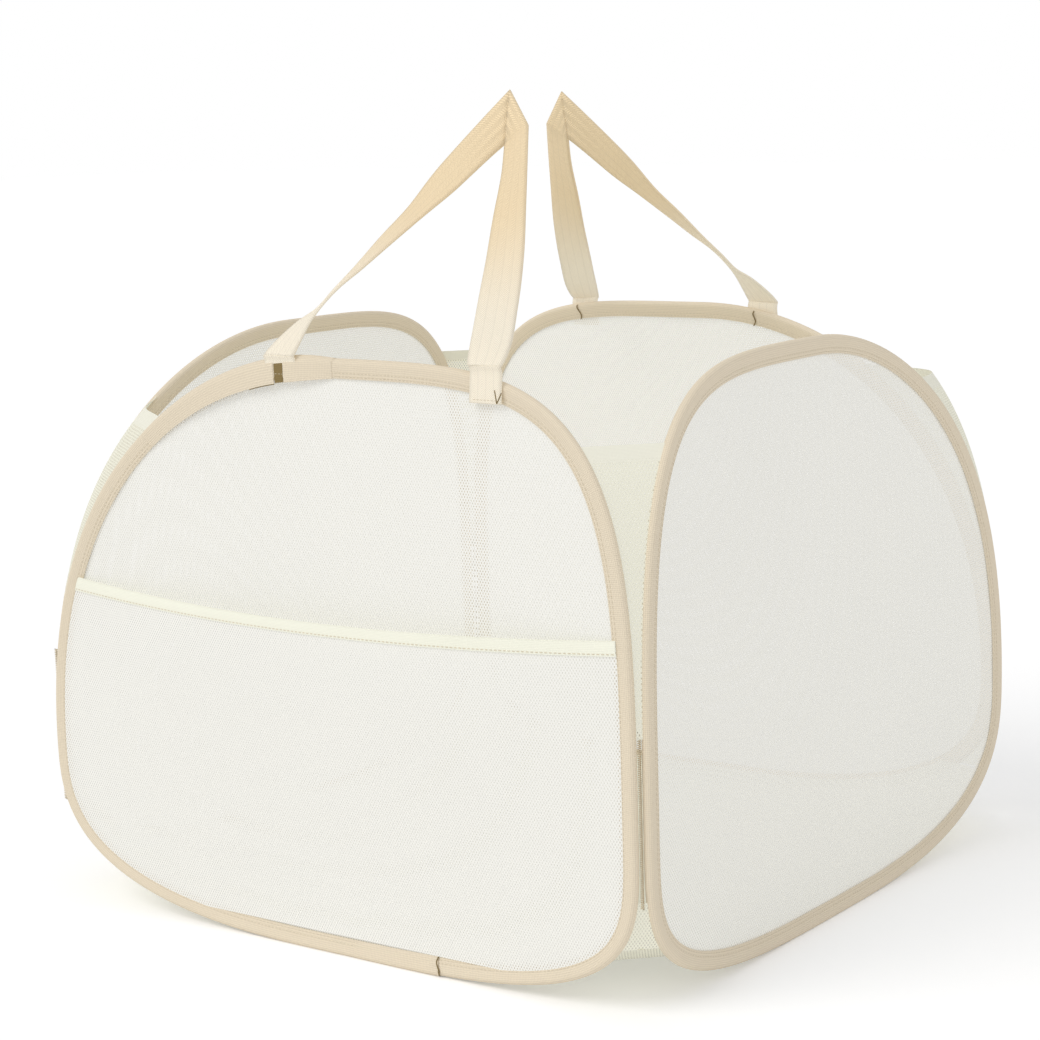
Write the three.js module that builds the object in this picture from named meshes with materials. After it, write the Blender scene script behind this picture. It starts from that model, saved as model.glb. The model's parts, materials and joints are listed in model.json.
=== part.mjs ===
// Pop up laundry hamper: four sprung wire hoops in sewn binding, each round a mesh panel, joined at
// their upright sides, with corner gussets, a cloth base, a front pocket and two webbing handles.
// Millimetres, +Z up. The pocket faces -Y. The origin is on the floor, under the middle of the
// hamper's whole length and width. All sizes follow from the named values below.
import * as THREE from 'three';

// Driving sizes
const overallWidth = 500;
const hoopHeight = 388;
const widestHeightShare = 0.286;
const tapeWidth = 25;

// Shape of a hoop's four corners: a higher exponent is a squarer corner
const tightTopExponent = 4.1;
const roundTopExponent = 2.1;
const tightBottomExponent = 3.6;
const roundBottomExponent = 2.7;
const hoopBow = 20;
const floorFlat = 0.5;

// Hoop section
const wireDiameter = 2.4;
const channelRadius = 2.3;
const tapeThickness = 0.9;
const meshThickness = 0.6;
const ferruleLength = 24;
const ferruleWall = 0.4;
const fitGap = 0.3;

// Corners and base
const seamDiameter = 2.4;
const seamBottomShare = 0.62;
const seamTopShare = 0.24;
const clothThickness = 0.8;
const topHemHeight = 344;
const bottomEdgeHeight = 41;
const hemDepth = 9;
const baseHeight = 9;

// Pocket
const pocketHeight = 232;
const pocketSag = 8;
const pocketBow = 16;
const pocketSagPower = 4;
const pocketRowPower = 1.5;

// Handles
const webbingThickness = 1.6;
const handleSpread = 168;
const handleLength = 186;
const handleLeanDegrees = 42;
const frontHandleShift = 52;
const backHandleShift = 32;
const footLength = 32;

// Fineness of the curves
const hoopSteps = 48;
const finePoints = 720;
const cornerWeight = 120;
const roundSteps = 7;
const wireSides = 6;
const panelRings = 3;
const cornerRows = 8;
const pocketRows = 8;
const pocketColumns = 14;
const baseSteps = 14;
const cornerPower = 8;

// Sizes worked out from the ones above
const bindingRadius = channelRadius + tapeThickness;
const bindingThickness = 2 * bindingRadius;
const bindingWidth = tapeWidth / 2;
const widestHeight = hoopHeight * widestHeightShare;
const half = overallWidth / 2;
const hingeLine = half - bindingThickness;
const hoopHalf = hingeLine - fitGap;
const legGap = meshThickness / 2 + fitGap;
const legFace = legGap + tapeThickness;
const panelInset = bindingRadius + channelRadius + 2 * fitGap;

// The four panels: turn about Z, and the end at which the hoop's corners are tight
const panels = [
  { name: 'front', turn: 0, tightEnd: 1 },
  { name: 'right', turn: 1, tightEnd: -1 },
  { name: 'back', turn: 2, tightEnd: 1 },
  { name: 'left', turn: 3, tightEnd: -1 },
];

const colours = {
  binding: ['#e2d6bd', 0.82, 0],
  mesh: ['#ebe9e1', 0.9, 0],
  gusset: ['#ebead2', 0.9, 0],
  hem: ['#f3f2e4', 0.85, 0],
  webbing: ['#dfd2ba', 0.8, 0],
  thread: ['#e9dfc9', 0.8, 0],
  wire: ['#8e9092', 0.35, 1],
  ferrule: ['#a9abad', 0.4, 1],
};

const model = new THREE.Group();
model.name = 'laundry_hamper';

function add(name, geometry, finish) {
  const [color, roughness, metalness] = colours[finish];
  const mesh = new THREE.Mesh(geometry, new THREE.MeshStandardMaterial({ color, roughness, metalness }));
  mesh.name = name;
  model.add(mesh);
}

// Solids from grids of points

// Closed solid from rings of points: each ring is a closed loop of the same count, and the rings
// close on themselves or are capped at each end, by a fan or by the triangles given for a ring.
function loft(rings, closed, endTriangles) {
  const count = rings[0].length;
  const points = rings.flat();
  const index = [];
  const spans = closed ? rings.length : rings.length - 1;
  for (let i = 0; i < spans; i += 1) {
    const here = i * count;
    const next = ((i + 1) % rings.length) * count;
    for (let j = 0; j < count; j += 1) {
      const k = (j + 1) % count;
      index.push(here + j, next + j, next + k);
      index.push(here + j, next + k, here + k);
    }
  }
  const last = (rings.length - 1) * count;
  if (endTriangles) {
    endTriangles.forEach(([a, b, c]) => index.push(a, b, c, last + a, last + c, last + b));
  } else if (!closed) {
    cap(points, index, 0, count, true);
    cap(points, index, last, count, false);
  }
  return solid(points, index);
}

// Fan from the middle of the ring of points that starts at the index given.
function cap(points, index, start, count, first) {
  const middle = new THREE.Vector3();
  for (let j = 0; j < count; j += 1) {
    middle.addScaledVector(points[start + j], 1 / count);
  }
  const hub = points.push(middle) - 1;
  for (let j = 0; j < count; j += 1) {
    const k = (j + 1) % count;
    if (first) {
      index.push(hub, start + j, start + k);
    } else {
      index.push(hub, start + k, start + j);
    }
  }
}

// Sheet with two faces: rows of front points and the matching rows of back points.
function sheet(front, back) {
  const rows = front.length;
  const columns = front[0].length;
  const points = [...front.flat(), ...back.flat()];
  const at = (i, j) => i * columns + j;
  const under = rows * columns;
  const index = [];
  for (let i = 0; i + 1 < rows; i += 1) {
    for (let j = 0; j + 1 < columns; j += 1) {
      const [a, b, c, d] = [at(i, j), at(i, j + 1), at(i + 1, j + 1), at(i + 1, j)];
      index.push(a, b, c, a, c, d);
      index.push(under + a, under + c, under + b, under + a, under + d, under + c);
    }
  }
  const rim = [];
  for (let j = 0; j + 1 < columns; j += 1) rim.push(at(0, j));
  for (let i = 0; i + 1 < rows; i += 1) rim.push(at(i, columns - 1));
  for (let j = columns - 1; j > 0; j -= 1) rim.push(at(rows - 1, j));
  for (let i = rows - 1; i > 0; i -= 1) rim.push(at(i, 0));
  rim.forEach((a, k) => {
    const b = rim[(k + 1) % rim.length];
    index.push(a, under + a, under + b, a, under + b, b);
  });
  return solid(points, index);
}

// Geometry with its faces turned outwards, whichever way round its points ran.
function solid(points, index) {
  let volume = 0;
  for (let i = 0; i < index.length; i += 3) {
    const [a, b, c] = [points[index[i]], points[index[i + 1]], points[index[i + 2]]];
    volume += a.dot(new THREE.Vector3().crossVectors(b, c));
  }
  if (volume < 0) {
    for (let i = 0; i < index.length; i += 3) {
      [index[i + 1], index[i + 2]] = [index[i + 2], index[i + 1]];
    }
  }
  const geometry = new THREE.BufferGeometry().setFromPoints(points);
  geometry.setIndex(index);
  geometry.computeVertexNormals();
  return geometry;
}

// Places on a panel: s runs along it, z up, and n inwards from its outer face

// How far a hoop leans inwards, which grows with the square of the height above its widest place
// and is nothing at the upright seams.
function bowAt(s, z) {
  const along = s / hoopHalf;
  const up = Math.max(0, (z - widestHeight) / (hoopHeight - widestHeight));
  return hoopBow * Math.max(0, 1 - along * along) * up * up;
}

function place(panel, s, n, z) {
  const point = new THREE.Vector3(s, n + bowAt(s, z) - half, z);
  return point.applyAxisAngle(new THREE.Vector3(0, 0, 1), (panel.turn * Math.PI) / 2);
}

// Outer edge of a hoop as steps of {s, z}, closer together where it turns, with the direction
// inwards at each.
function hoopEdge(panel) {
  const fine = [];
  for (let i = 0; i < finePoints; i += 1) {
    const angle = (2 * Math.PI * i) / finePoints;
    const [c, d] = [Math.cos(angle), Math.sin(angle)];
    const tight = c * panel.tightEnd > 0;
    const top = tight ? tightTopExponent : roundTopExponent;
    const bottom = tight ? tightBottomExponent : roundBottomExponent;
    const power = 2 / (d > 0 ? top : bottom);
    const rise = d > 0 ? hoopHeight - widestHeight : widestHeight + floorFlat;
    fine.push({
      s: hoopHalf * Math.sign(c) * Math.abs(c) ** power,
      z: widestHeight + rise * Math.sign(d) * Math.abs(d) ** power,
    });
  }
  const reach = [0];
  fine.forEach((p, i) => {
    const q = fine[(i + 1) % finePoints];
    const r = fine[(i + 2) % finePoints];
    const here = new THREE.Vector2(q.s - p.s, q.z - p.z);
    const next = new THREE.Vector2(r.s - q.s, r.z - q.z);
    reach.push(reach[i] + here.length() + cornerWeight * Math.abs(here.angleTo(next)));
  });
  const steps = [];
  let k = 0;
  for (let i = 0; i < hoopSteps; i += 1) {
    const want = (reach[finePoints] * i) / hoopSteps;
    while (reach[k + 1] <= want) k += 1;
    const t = (want - reach[k]) / (reach[k + 1] - reach[k]);
    const [p, q] = [fine[k], fine[(k + 1) % finePoints]];
    steps.push({ s: p.s + t * (q.s - p.s), z: p.z + t * (q.z - p.z) });
  }
  return steps.map((p, i) => {
    const before = steps[(i + hoopSteps - 1) % hoopSteps];
    const after = steps[(i + 1) % hoopSteps];
    const [ds, dz] = [after.s - before.s, after.z - before.z];
    const length = Math.hypot(ds, dz);
    return { s: p.s, z: p.z, inS: -dz / length, inZ: ds / length };
  });
}

function insetEdge(edge, inset) {
  return edge.map((p) => ({ s: p.s + inset * p.inS, z: p.z + inset * p.inZ }));
}

// Crossing of a closed line of {s, z} with a height, on the side whose sign is given.
function sideAt(line, z, side) {
  let found = 0;
  line.forEach((p, i) => {
    const q = line[(i + 1) % line.length];
    if ((p.z - z) * (q.z - z) <= 0 && p.z !== q.z) {
      const s = p.s + ((z - p.z) / (q.z - p.z)) * (q.s - p.s);
      if (s * side > found) found = s * side;
    }
  });
  return found * side;
}

// Crossing of a closed line of {s, z} with a place along the panel, on its lower side.
function bottomAt(line, s) {
  let found = widestHeight;
  line.forEach((p, i) => {
    const q = line[(i + 1) % line.length];
    if ((p.s - s) * (q.s - s) <= 0 && p.s !== q.s) {
      const z = p.z + ((s - p.s) / (q.s - p.s)) * (q.z - p.z);
      found = Math.min(found, z);
    }
  });
  return found;
}

// The sections that are carried round a hoop, as {r, n}: r inwards from its outer edge and n
// across its thickness.

function circleSection(radius, sides) {
  return Array.from({ length: sides }, (_, i) => {
    const angle = (2 * Math.PI * i) / sides;
    return { r: bindingRadius + radius * Math.cos(angle), n: bindingRadius + radius * Math.sin(angle) };
  });
}

// Tape folded over the wire: a round end and two legs that hold the mesh between them.
function bindingSection() {
  const outer = bend(bindingRadius, legFace);
  const inner = bend(channelRadius, legGap).reverse();
  return [...outer, ...inner];
}

// Arc about the wire that opens inwards, with a leg at each end.
function bend(radius, legOffset) {
  const open = Math.asin(legOffset / radius);
  const line = [{ r: bindingWidth, n: bindingRadius + legOffset }];
  for (let i = 0; i <= roundSteps; i += 1) {
    const angle = open + ((2 * Math.PI - 2 * open) * i) / roundSteps;
    line.push({ r: bindingRadius + radius * Math.cos(angle), n: bindingRadius + radius * Math.sin(angle) });
  }
  line.push({ r: bindingWidth, n: bindingRadius - legOffset });
  return line;
}

// Rings of a section round the steps of an edge, kept above the floor.
function sweep(panel, steps, section) {
  return steps.map((p) => section.map(({ r, n }) => {
    const z = Math.max(0, p.z + r * p.inZ);
    return place(panel, p.s + r * p.inS, n, z);
  }));
}

// Pieces of a panel

function addHoop(panel, edge) {
  add(`${panel.name}_binding`, loft(sweep(panel, edge, bindingSection()), true), 'binding');
  const wire = circleSection(wireDiameter / 2, wireSides);
  add(`${panel.name}_hoop_wire`, loft(sweep(panel, edge, wire), true), 'wire');
}

// Crimped sleeve over the joint of the wire, in the middle of the hoop's bottom.
function addFerrule(panel, edge) {
  const ends = [-ferruleLength / 2, ferruleLength / 2].map((s) => (
    { s, z: bottomAt(edge, s), inS: 0, inZ: 1 }
  ));
  const inside = wireDiameter / 2 + fitGap;
  const bore = sweep(panel, ends, circleSection(inside, wireSides));
  const skin = sweep(panel, ends, circleSection(inside + ferruleWall, wireSides));
  add(`${panel.name}_hoop_ferrule`, loft([bore[0], bore[1], skin[1], skin[0]], true), 'ferrule');
}

// Mesh held in the binding, in rings from its middle to its edge.
function addMeshPanel(panel, edge) {
  const rim = insetEdge(edge, panelInset);
  const faces = [bindingRadius - meshThickness / 2, bindingRadius + meshThickness / 2];
  const hub = { s: 0, z: widestHeight };
  const ring = (share, n) => rim.map((p) => {
    const s = hub.s + share * (p.s - hub.s);
    const z = hub.z + share * (p.z - hub.z);
    return place(panel, s, n, z);
  });
  const shares = Array.from({ length: panelRings }, (_, i) => (i + 1) / panelRings);
  const rings = [
    ...shares.map((share) => ring(share, faces[0])),
    ...shares.map((share) => ring(share, faces[1])).reverse(),
  ];
  add(`${panel.name}_mesh_panel`, loft(rings, false), 'mesh');
}

// Corners: each is named for the panels that it joins

// Cloth between the outer edges of two neighbouring hoops, with a row at each of the heights.
function cornerCloth(first, second, firstEdge, secondEdge, heights) {
  const clearance = -clothThickness / 2 - 2 * fitGap;
  const firstLine = insetEdge(firstEdge, clearance);
  const secondLine = insetEdge(secondEdge, clearance);
  const face = (shift) => heights.map((z) => {
    const from = place(first, sideAt(firstLine, z, 1), bindingRadius, z);
    const to = place(second, sideAt(secondLine, z, -1), bindingRadius, z);
    const across = new THREE.Vector3().subVectors(to, from).normalize();
    const out = new THREE.Vector3(across.y, -across.x, 0).multiplyScalar(shift);
    return [0, 1 / 2, 1].map((share) => from.clone().lerp(to, share).add(out));
  });
  return sheet(face(clothThickness / 2), face(-clothThickness / 2));
}

function stepsBetween(low, high, count) {
  return Array.from({ length: count + 1 }, (_, i) => low + ((high - low) * i) / count);
}

function addCorner(first, second, firstEdge, secondEdge) {
  const corner = `${first.name}_${second.name}`;
  const seamLow = widestHeight * seamBottomShare;
  const seamHigh = widestHeight + (hoopHeight - widestHeight) * seamTopShare;
  const seam = new THREE.CylinderGeometry(seamDiameter / 2, seamDiameter / 2, seamHigh - seamLow, roundSteps);
  seam.rotateX(Math.PI / 2);
  const spot = new THREE.Vector3(hingeLine, -hingeLine, (seamLow + seamHigh) / 2);
  spot.applyAxisAngle(new THREE.Vector3(0, 0, 1), (first.turn * Math.PI) / 2);
  seam.translate(spot.x, spot.y, spot.z);
  add(`${corner}_seam`, seam, 'thread');

  const gussetHeights = stepsBetween(seamHigh + fitGap, topHemHeight - hemDepth - fitGap, cornerRows);
  add(`${corner}_top_gusset`, cornerCloth(first, second, firstEdge, secondEdge, gussetHeights), 'gusset');
  const hemHeights = stepsBetween(topHemHeight - hemDepth, topHemHeight, 1);
  add(`${corner}_gusset_hem`, cornerCloth(first, second, firstEdge, secondEdge, hemHeights), 'hem');
  const lowHeights = stepsBetween(bottomEdgeHeight, seamLow - fitGap, cornerRows);
  add(`${corner}_bottom_gusset`, cornerCloth(first, second, firstEdge, secondEdge, lowHeights), 'gusset');
}

// Cloth base that hangs between the lower edges of the hoops and rises into the corners.
function addBase(edges) {
  const reach = half - bindingRadius - legFace - fitGap;
  const rise = bottomEdgeHeight - baseHeight;
  const lift = (edge, s) => {
    const height = bottomAt(edge, s);
    return Math.min(1, Math.max(0, height / rise));
  };
  const cut = (edge) => {
    const gusset = (sideAt(edge, bottomEdgeHeight, 1) + half - bindingRadius) / 2;
    return 1 - (gusset - clothThickness - 4 * fitGap) / reach;
  };
  const cuts = { tight: cut(edges.front), round: cut(edges.left) };
  const rows = { top: [], bottom: [] };
  const steps = stepsBetween(-1, 1, baseSteps).map((t) => Math.sin((t * Math.PI) / 2));
  for (const q of steps) {
    const line = { top: [], bottom: [] };
    for (const p of steps) {
      const corner = p * q < 0 ? cuts.tight : cuts.round;
      const x = reach * p * (1 - corner * q ** cornerPower);
      const y = reach * q * (1 - corner * p ** cornerPower);
      const alongX = q < 0 ? lift(edges.front, x) : lift(edges.back, -x);
      const alongY = p > 0 ? lift(edges.right, y) : lift(edges.left, -y);
      const z = baseHeight + rise * (1 - (1 - alongX * q ** cornerPower) * (1 - alongY * p ** cornerPower));
      line.top.push(new THREE.Vector3(x, y, z + clothThickness));
      line.bottom.push(new THREE.Vector3(x, y, z));
    }
    rows.top.push(line.top);
    rows.bottom.push(line.bottom);
  }
  add('base_cloth', sheet(rows.top, rows.bottom), 'gusset');
}

// Pocket on the outside of the front panel, open at its top

function addPocket(panel, edge) {
  const rim = insetEdge(edge, bindingWidth + fitGap);
  const lowest = Math.min(...rim.map((p) => p.z)) + 2 * fitGap;
  const rest = bindingRadius - meshThickness / 2 - fitGap - legFace;
  const across = stepsBetween(-1, 1, pocketColumns);
  const lineAt = (z, grow) => {
    const [left, right] = [sideAt(rim, z, -1), sideAt(rim, z, 1)];
    const share = (z - lowest) / (pocketHeight - lowest);
    return across.map((t) => {
      const s = (left + right) / 2 + (t * (right - left)) / 2;
      const belly = pocketBow * (1 - t * t) * Math.sin((share * Math.PI) / 2);
      const drop = pocketSag * (1 - t * t) * share ** pocketSagPower;
      return place(panel, s, rest - belly - grow, z - drop);
    });
  };
  const underHem = pocketHeight - hemDepth;
  const heights = stepsBetween(0, 1, pocketRows).map((t) => lowest + (underHem - lowest) * t ** pocketRowPower);
  heights.push(pocketHeight - tapeThickness - fitGap);
  const face = (grow) => heights.map((z) => lineAt(z, grow));
  add('front_pocket_mesh', sheet(face(meshThickness / 2), face(-meshThickness / 2)), 'mesh');

  const section = hemSection();
  const lines = section.map(({ n, z }) => lineAt(z, n));
  const rings = across.map((_, j) => lines.map((line) => line[j]));
  const ends = THREE.ShapeUtils.triangulateShape(section.map(({ n, z }) => new THREE.Vector2(n, z)), []);
  add('front_pocket_hem', loft(rings, false, ends), 'hem');
}

// Tape folded over the top edge of the pocket, as {n, z}: n outwards from the middle of the mesh.
function hemSection() {
  const [low, high] = [pocketHeight - hemDepth, pocketHeight];
  return [
    { n: legFace, z: low },
    { n: legFace, z: high },
    { n: -legFace, z: high },
    { n: -legFace, z: low },
    { n: -legGap, z: low },
    { n: -legGap, z: high - tapeThickness },
    { n: legGap, z: high - tapeThickness },
    { n: legGap, z: low },
  ];
}

// Handles: a strap folded into a pointed arch, sewn to the outside of a hoop's top. It turns on the
// line through its two sewn ends, and leans inwards from that line.

function addHandle(panel, shift) {
  const spread = handleSpread / 2;
  const strap = new THREE.ExtrudeGeometry(strapOutline(spread), { depth: webbingThickness, bevelEnabled: false });
  strap.translate(0, 0, -webbingThickness / 2);

  const outside = -3 * fitGap - (3 * webbingThickness) / 2;
  const ends = [-1, 1].map((side) => place(panel, shift + side * spread, outside, hoopHeight + fitGap));
  const along = new THREE.Vector3().subVectors(ends[1], ends[0]).normalize();
  const inwards = new THREE.Vector3(-along.y, along.x, 0);
  const lean = (handleLeanDegrees * Math.PI) / 180;
  const up = new THREE.Vector3(0, 0, Math.cos(lean)).addScaledVector(inwards, Math.sin(lean));
  const out = new THREE.Vector3().crossVectors(along, up);
  const middle = new THREE.Vector3().addVectors(ends[0], ends[1]).divideScalar(2);
  strap.applyMatrix4(new THREE.Matrix4().makeBasis(along, up, out).setPosition(middle));
  add(`${panel.name}_handle`, strap, 'webbing');
  for (const [side, name] of [[-1, 'left'], [1, 'right']]) {
    addFoot(panel, shift + side * spread, `${panel.name}_handle_${name}_foot`);
  }
}

// Pointed arch of one strap's width, whose legs stand the spread to each side of its middle.
function strapOutline(spread) {
  const outerRun = handleLength / Math.hypot(handleLength, spread);
  const sideStep = tapeWidth / outerRun / 2;
  const climb = (sideStep * handleLength) / spread;
  const start = webbingThickness / 2;
  const outline = [
    [-spread - sideStep, start],
    [0, handleLength + climb],
    [spread + sideStep, start],
    [spread - sideStep, start],
    [0, handleLength - climb],
    [sideStep - spread, start],
  ];
  return new THREE.Shape(outline.map(([s, up]) => new THREE.Vector2(s, up)));
}

// End of the strap, sewn flat on the outside of the binding under the handle.
function addFoot(panel, s, name) {
  const top = hoopHeight;
  const face = (n) => stepsBetween(top - footLength, top, 3).map((z) => (
    [-1, 0, 1].map((side) => place(panel, s + (side * tapeWidth) / 2, n, z))
  ));
  add(name, sheet(face(-fitGap - webbingThickness), face(-fitGap)), 'webbing');
}

const edges = Object.fromEntries(panels.map((panel) => [panel.name, hoopEdge(panel)]));
for (const panel of panels) {
  addHoop(panel, edges[panel.name]);
  addFerrule(panel, edges[panel.name]);
  addMeshPanel(panel, edges[panel.name]);
}
panels.forEach((first, i) => {
  const second = panels[(i + 1) % panels.length];
  addCorner(first, second, edges[first.name], edges[second.name]);
});
addBase(edges);
addPocket(panels[0], edges.front);
addHandle(panels[0], frontHandleShift);
addHandle(panels[2], backHandleShift);

// The pocket stands out at the front only, so the middle of the whole is a little ahead of the
// middle of the four panels.
const middle = new THREE.Box3().setFromObject(model).getCenter(new THREE.Vector3());
model.children.forEach((mesh) => mesh.geometry.translate(-middle.x, -middle.y, 0));

export default model;
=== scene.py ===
"""Looks of the pop up laundry hamper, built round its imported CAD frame."""
import json
import math

import bpy
import numpy as np
from bpy.props import FloatProperty, FloatVectorProperty, PointerProperty
from mathutils import Matrix, Vector


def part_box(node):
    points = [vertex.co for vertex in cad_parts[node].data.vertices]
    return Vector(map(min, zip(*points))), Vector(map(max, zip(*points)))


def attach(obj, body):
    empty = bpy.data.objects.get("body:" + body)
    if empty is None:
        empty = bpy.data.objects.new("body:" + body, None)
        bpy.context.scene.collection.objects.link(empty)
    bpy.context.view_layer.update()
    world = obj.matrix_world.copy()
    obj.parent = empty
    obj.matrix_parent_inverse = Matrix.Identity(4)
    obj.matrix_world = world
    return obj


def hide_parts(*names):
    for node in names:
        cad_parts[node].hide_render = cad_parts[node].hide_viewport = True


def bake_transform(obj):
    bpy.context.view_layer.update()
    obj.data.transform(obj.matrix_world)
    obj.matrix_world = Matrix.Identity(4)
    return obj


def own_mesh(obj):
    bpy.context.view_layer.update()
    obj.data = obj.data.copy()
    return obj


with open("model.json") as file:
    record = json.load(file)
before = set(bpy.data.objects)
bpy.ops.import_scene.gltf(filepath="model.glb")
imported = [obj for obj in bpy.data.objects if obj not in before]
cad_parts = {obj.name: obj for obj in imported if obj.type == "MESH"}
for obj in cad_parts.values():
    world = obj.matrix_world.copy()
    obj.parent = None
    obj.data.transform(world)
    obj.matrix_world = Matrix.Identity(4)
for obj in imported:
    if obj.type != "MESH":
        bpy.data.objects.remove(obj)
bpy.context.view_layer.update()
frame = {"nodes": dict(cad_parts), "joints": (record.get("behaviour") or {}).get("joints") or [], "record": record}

bl_info = {
    "name": "Pop up laundry hamper",
    "version": (1, 0, 0),
    "blender": (4, 5, 0),
    "location": "View3D > Sidebar > Hamper",
    "description": "Builds the cloth, tape, webbing and stage of a pop up laundry hamper",
    "category": "Object",
}

JOINTS = {joint["name"]: joint for joint in frame["joints"]}
HINGE_LINE = JOINTS["right_fold"]["pos_m"][0]
MIDDLE_Y = (JOINTS["right_fold"]["pos_m"][1] + JOINTS["back_fold"]["pos_m"][1]) / 2

# Each panel: quarter turns about Z, and the end at which its hoop's corners are tight
PANELS = {"front": (0, 1), "right": (1, -1), "back": (2, 1), "left": (3, -1)}
CORNERS = [("front", "right"), ("right", "back"), ("back", "left"), ("left", "front")]
OPEN_CORNER = ("back", "left")
MM = 0.001

# Room between a hoop's edge and the middle of its seam
SEAM_GAP = 0.3 * MM

# A point inside the hamper, which its outer faces turn away from
INSIDE = (0, MIDDLE_Y, 200 * MM)

# Points on a hoop: on its exact outline, for measuring from it, for its tape and mesh, for its stitching, and
# where only a part of it is used
OUTLINE_POINTS = 6000
LOOKUP_POINTS = 1200
HOOP_POINTS = 360
STITCHING_POINTS = 720
STRETCH_POINTS = 2400
# How long a radian of turning counts when points are spread along an outline
TURNING_PULL = 60 * MM
# Points on the tape's roll over the wire and on each of its straight legs
ROLL_POINTS = 15
LEG_POINTS = 5
# Sides of a thread, their angles, and a direction that no thread runs in
THREAD_SIDES = 6
THREAD_ANGLES = np.arange(THREAD_SIDES)[:, None] * 2 * math.pi / THREAD_SIDES
SKEW = (0.31, 0.52, 0.8)
# Place of a stitch's two rings, as a share of its length from its middle
STITCH_RINGS = (-0.28, 0.28)


# Sizes and colours that a user would change


def size(name, description, default):
    return FloatProperty(name=name, description=description, default=default, unit="LENGTH")


def angle(name, description, degrees):
    return FloatProperty(name=name, description=description, default=math.radians(degrees), subtype="ANGLE")


def share(name, description, default):
    return FloatProperty(name=name, description=description, default=default)


def colour(name, description, default):
    return FloatVectorProperty(
        name=name, description=description, default=default, size=3, subtype="COLOR_GAMMA", min=0, max=1
    )


class HamperSizes(bpy.types.PropertyGroup):
    hoop_height: size("Hoop height", "Height of each hoop above the floor", 388 * MM)
    widest_share: share("Widest height", "Height of a hoop's widest place, as a share of its height", 0.286)
    tight_top: share("Tight top", "Exponent of a hoop's square top corner", 4.1)
    round_top: share("Round top", "Exponent of a hoop's round top corner", 2.1)
    tight_bottom: share("Tight bottom", "Exponent of a hoop's square bottom corner", 3.6)
    round_bottom: share("Round bottom", "Exponent of a hoop's round bottom corner", 2.7)
    bow: size("Bow", "How far the middle of a hoop's top leans inwards", 20 * MM)
    roll_radius: size("Roll radius", "Radius of the tape's roll over the wire", 3.2 * MM)
    tape: size("Tape", "Thickness of the binding tape", 0.9 * MM)
    binding_width: size("Binding width", "Width of the folded tape", 12.5 * MM)
    leg_gap: size("Leg gap", "Half the room for the mesh between the tape's two edges", 0.6 * MM)
    floor_flat: size("Floor flat", "How far the hoops press into the floor's plane", 0.5 * MM)
    webbing_width: size("Webbing width", "Width of the handles", 25 * MM)
    webbing: size("Webbing", "Thickness of the handles", 1.5 * MM)
    # Painted shade on the handles: their darker upper colour fades out between these distances from the fold
    shade_fade_start: size("Fade start", "How far from its fold a handle begins to fade", 80 * MM)
    shade_fade_end: size("Fade end", "How far from its fold a handle has faded", 190 * MM)
    handle_lean: angle("Handle lean", "How far the handles lean inwards", 42)
    handle_spread: size("Handle spread", "Distance between the middles of a handle's ends", 168 * MM)
    front_shift: size("Front shift", "How far the front handle is from the panel's middle", 52 * MM)
    back_shift: size("Back shift", "How far the back handle is from the panel's middle", 32 * MM)
    pocket_height: size("Pocket height", "Height of the pocket's top edge above the floor", 232 * MM)
    pocket_bottom: size("Pocket bottom", "Height of the pocket's lowest row of mesh", 13.6 * MM)
    pocket_bow: size("Pocket bow", "How far the pocket stands out in its middle", 16 * MM)
    pocket_sag: size("Pocket sag", "How far the pocket's top edge sags in its middle", 8 * MM)
    mesh_pitch: size("Mesh pitch", "Distance between the mesh's holes", 2.1 * MM)
    hem: size("Hem", "Depth of the hems", 9 * MM)
    hem_height: size("Hem height", "Height of the top edge of the corner gussets", 344 * MM)
    cloth_low: size("Low edge", "Height of the lower edge of the corner gussets", 41 * MM)
    base_height: size("Base height", "Height of the middle of the cloth base", 9 * MM)
    fold_keep: share("Fold keep", "Share of its depth that cloth keeps when it folds away", 0.12)


class HamperColours(bpy.types.PropertyGroup):
    tape: colour("Tape", "Binding tape", (0.93, 0.878, 0.785))
    mesh: colour("Mesh", "Mesh of the panels", (0.843, 0.84, 0.82))
    gusset: colour("Gusset", "Mesh of the corners and base", (0.86, 0.855, 0.795))
    hem: colour("Hem", "Tape on the pocket's edge", (0.93, 0.93, 0.87))
    gusset_hem: colour("Gusset hem", "Tape on the gussets' top edges", (0.89, 0.885, 0.83))
    # The handles' upper colour is darker and yellower by painted shade, and gives way to the paler colour of their
    # ends
    webbing: colour("Webbing", "Upper part of the handles", (0.922, 0.84, 0.697))
    webbing_end: colour("Webbing's ends", "Handles near their sewn ends", (0.955, 0.92, 0.845))
    thread: colour("Thread", "Sewing thread", (0.9, 0.85, 0.75))
    seam_thread: colour("Seam thread", "Thread that joins the hoops", (0.9, 0.84, 0.72))
    # Colour of dark thread, and also of the painted shade in the tape's fold at its open end
    dark_thread: colour("Dark thread", "Knots and the folds of the tape's ends", (0.55, 0.47, 0.3))
    wire: colour("Wire", "Spring wire and its sleeves", (0.6, 0.6, 0.61))
    floor: colour("Floor", "Floor and backdrop", (0.985, 0.985, 0.985))


def sizes():
    return bpy.context.scene.hamper_sizes


def colours():
    return bpy.context.scene.hamper_colours


# Meshes from arrays


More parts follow.
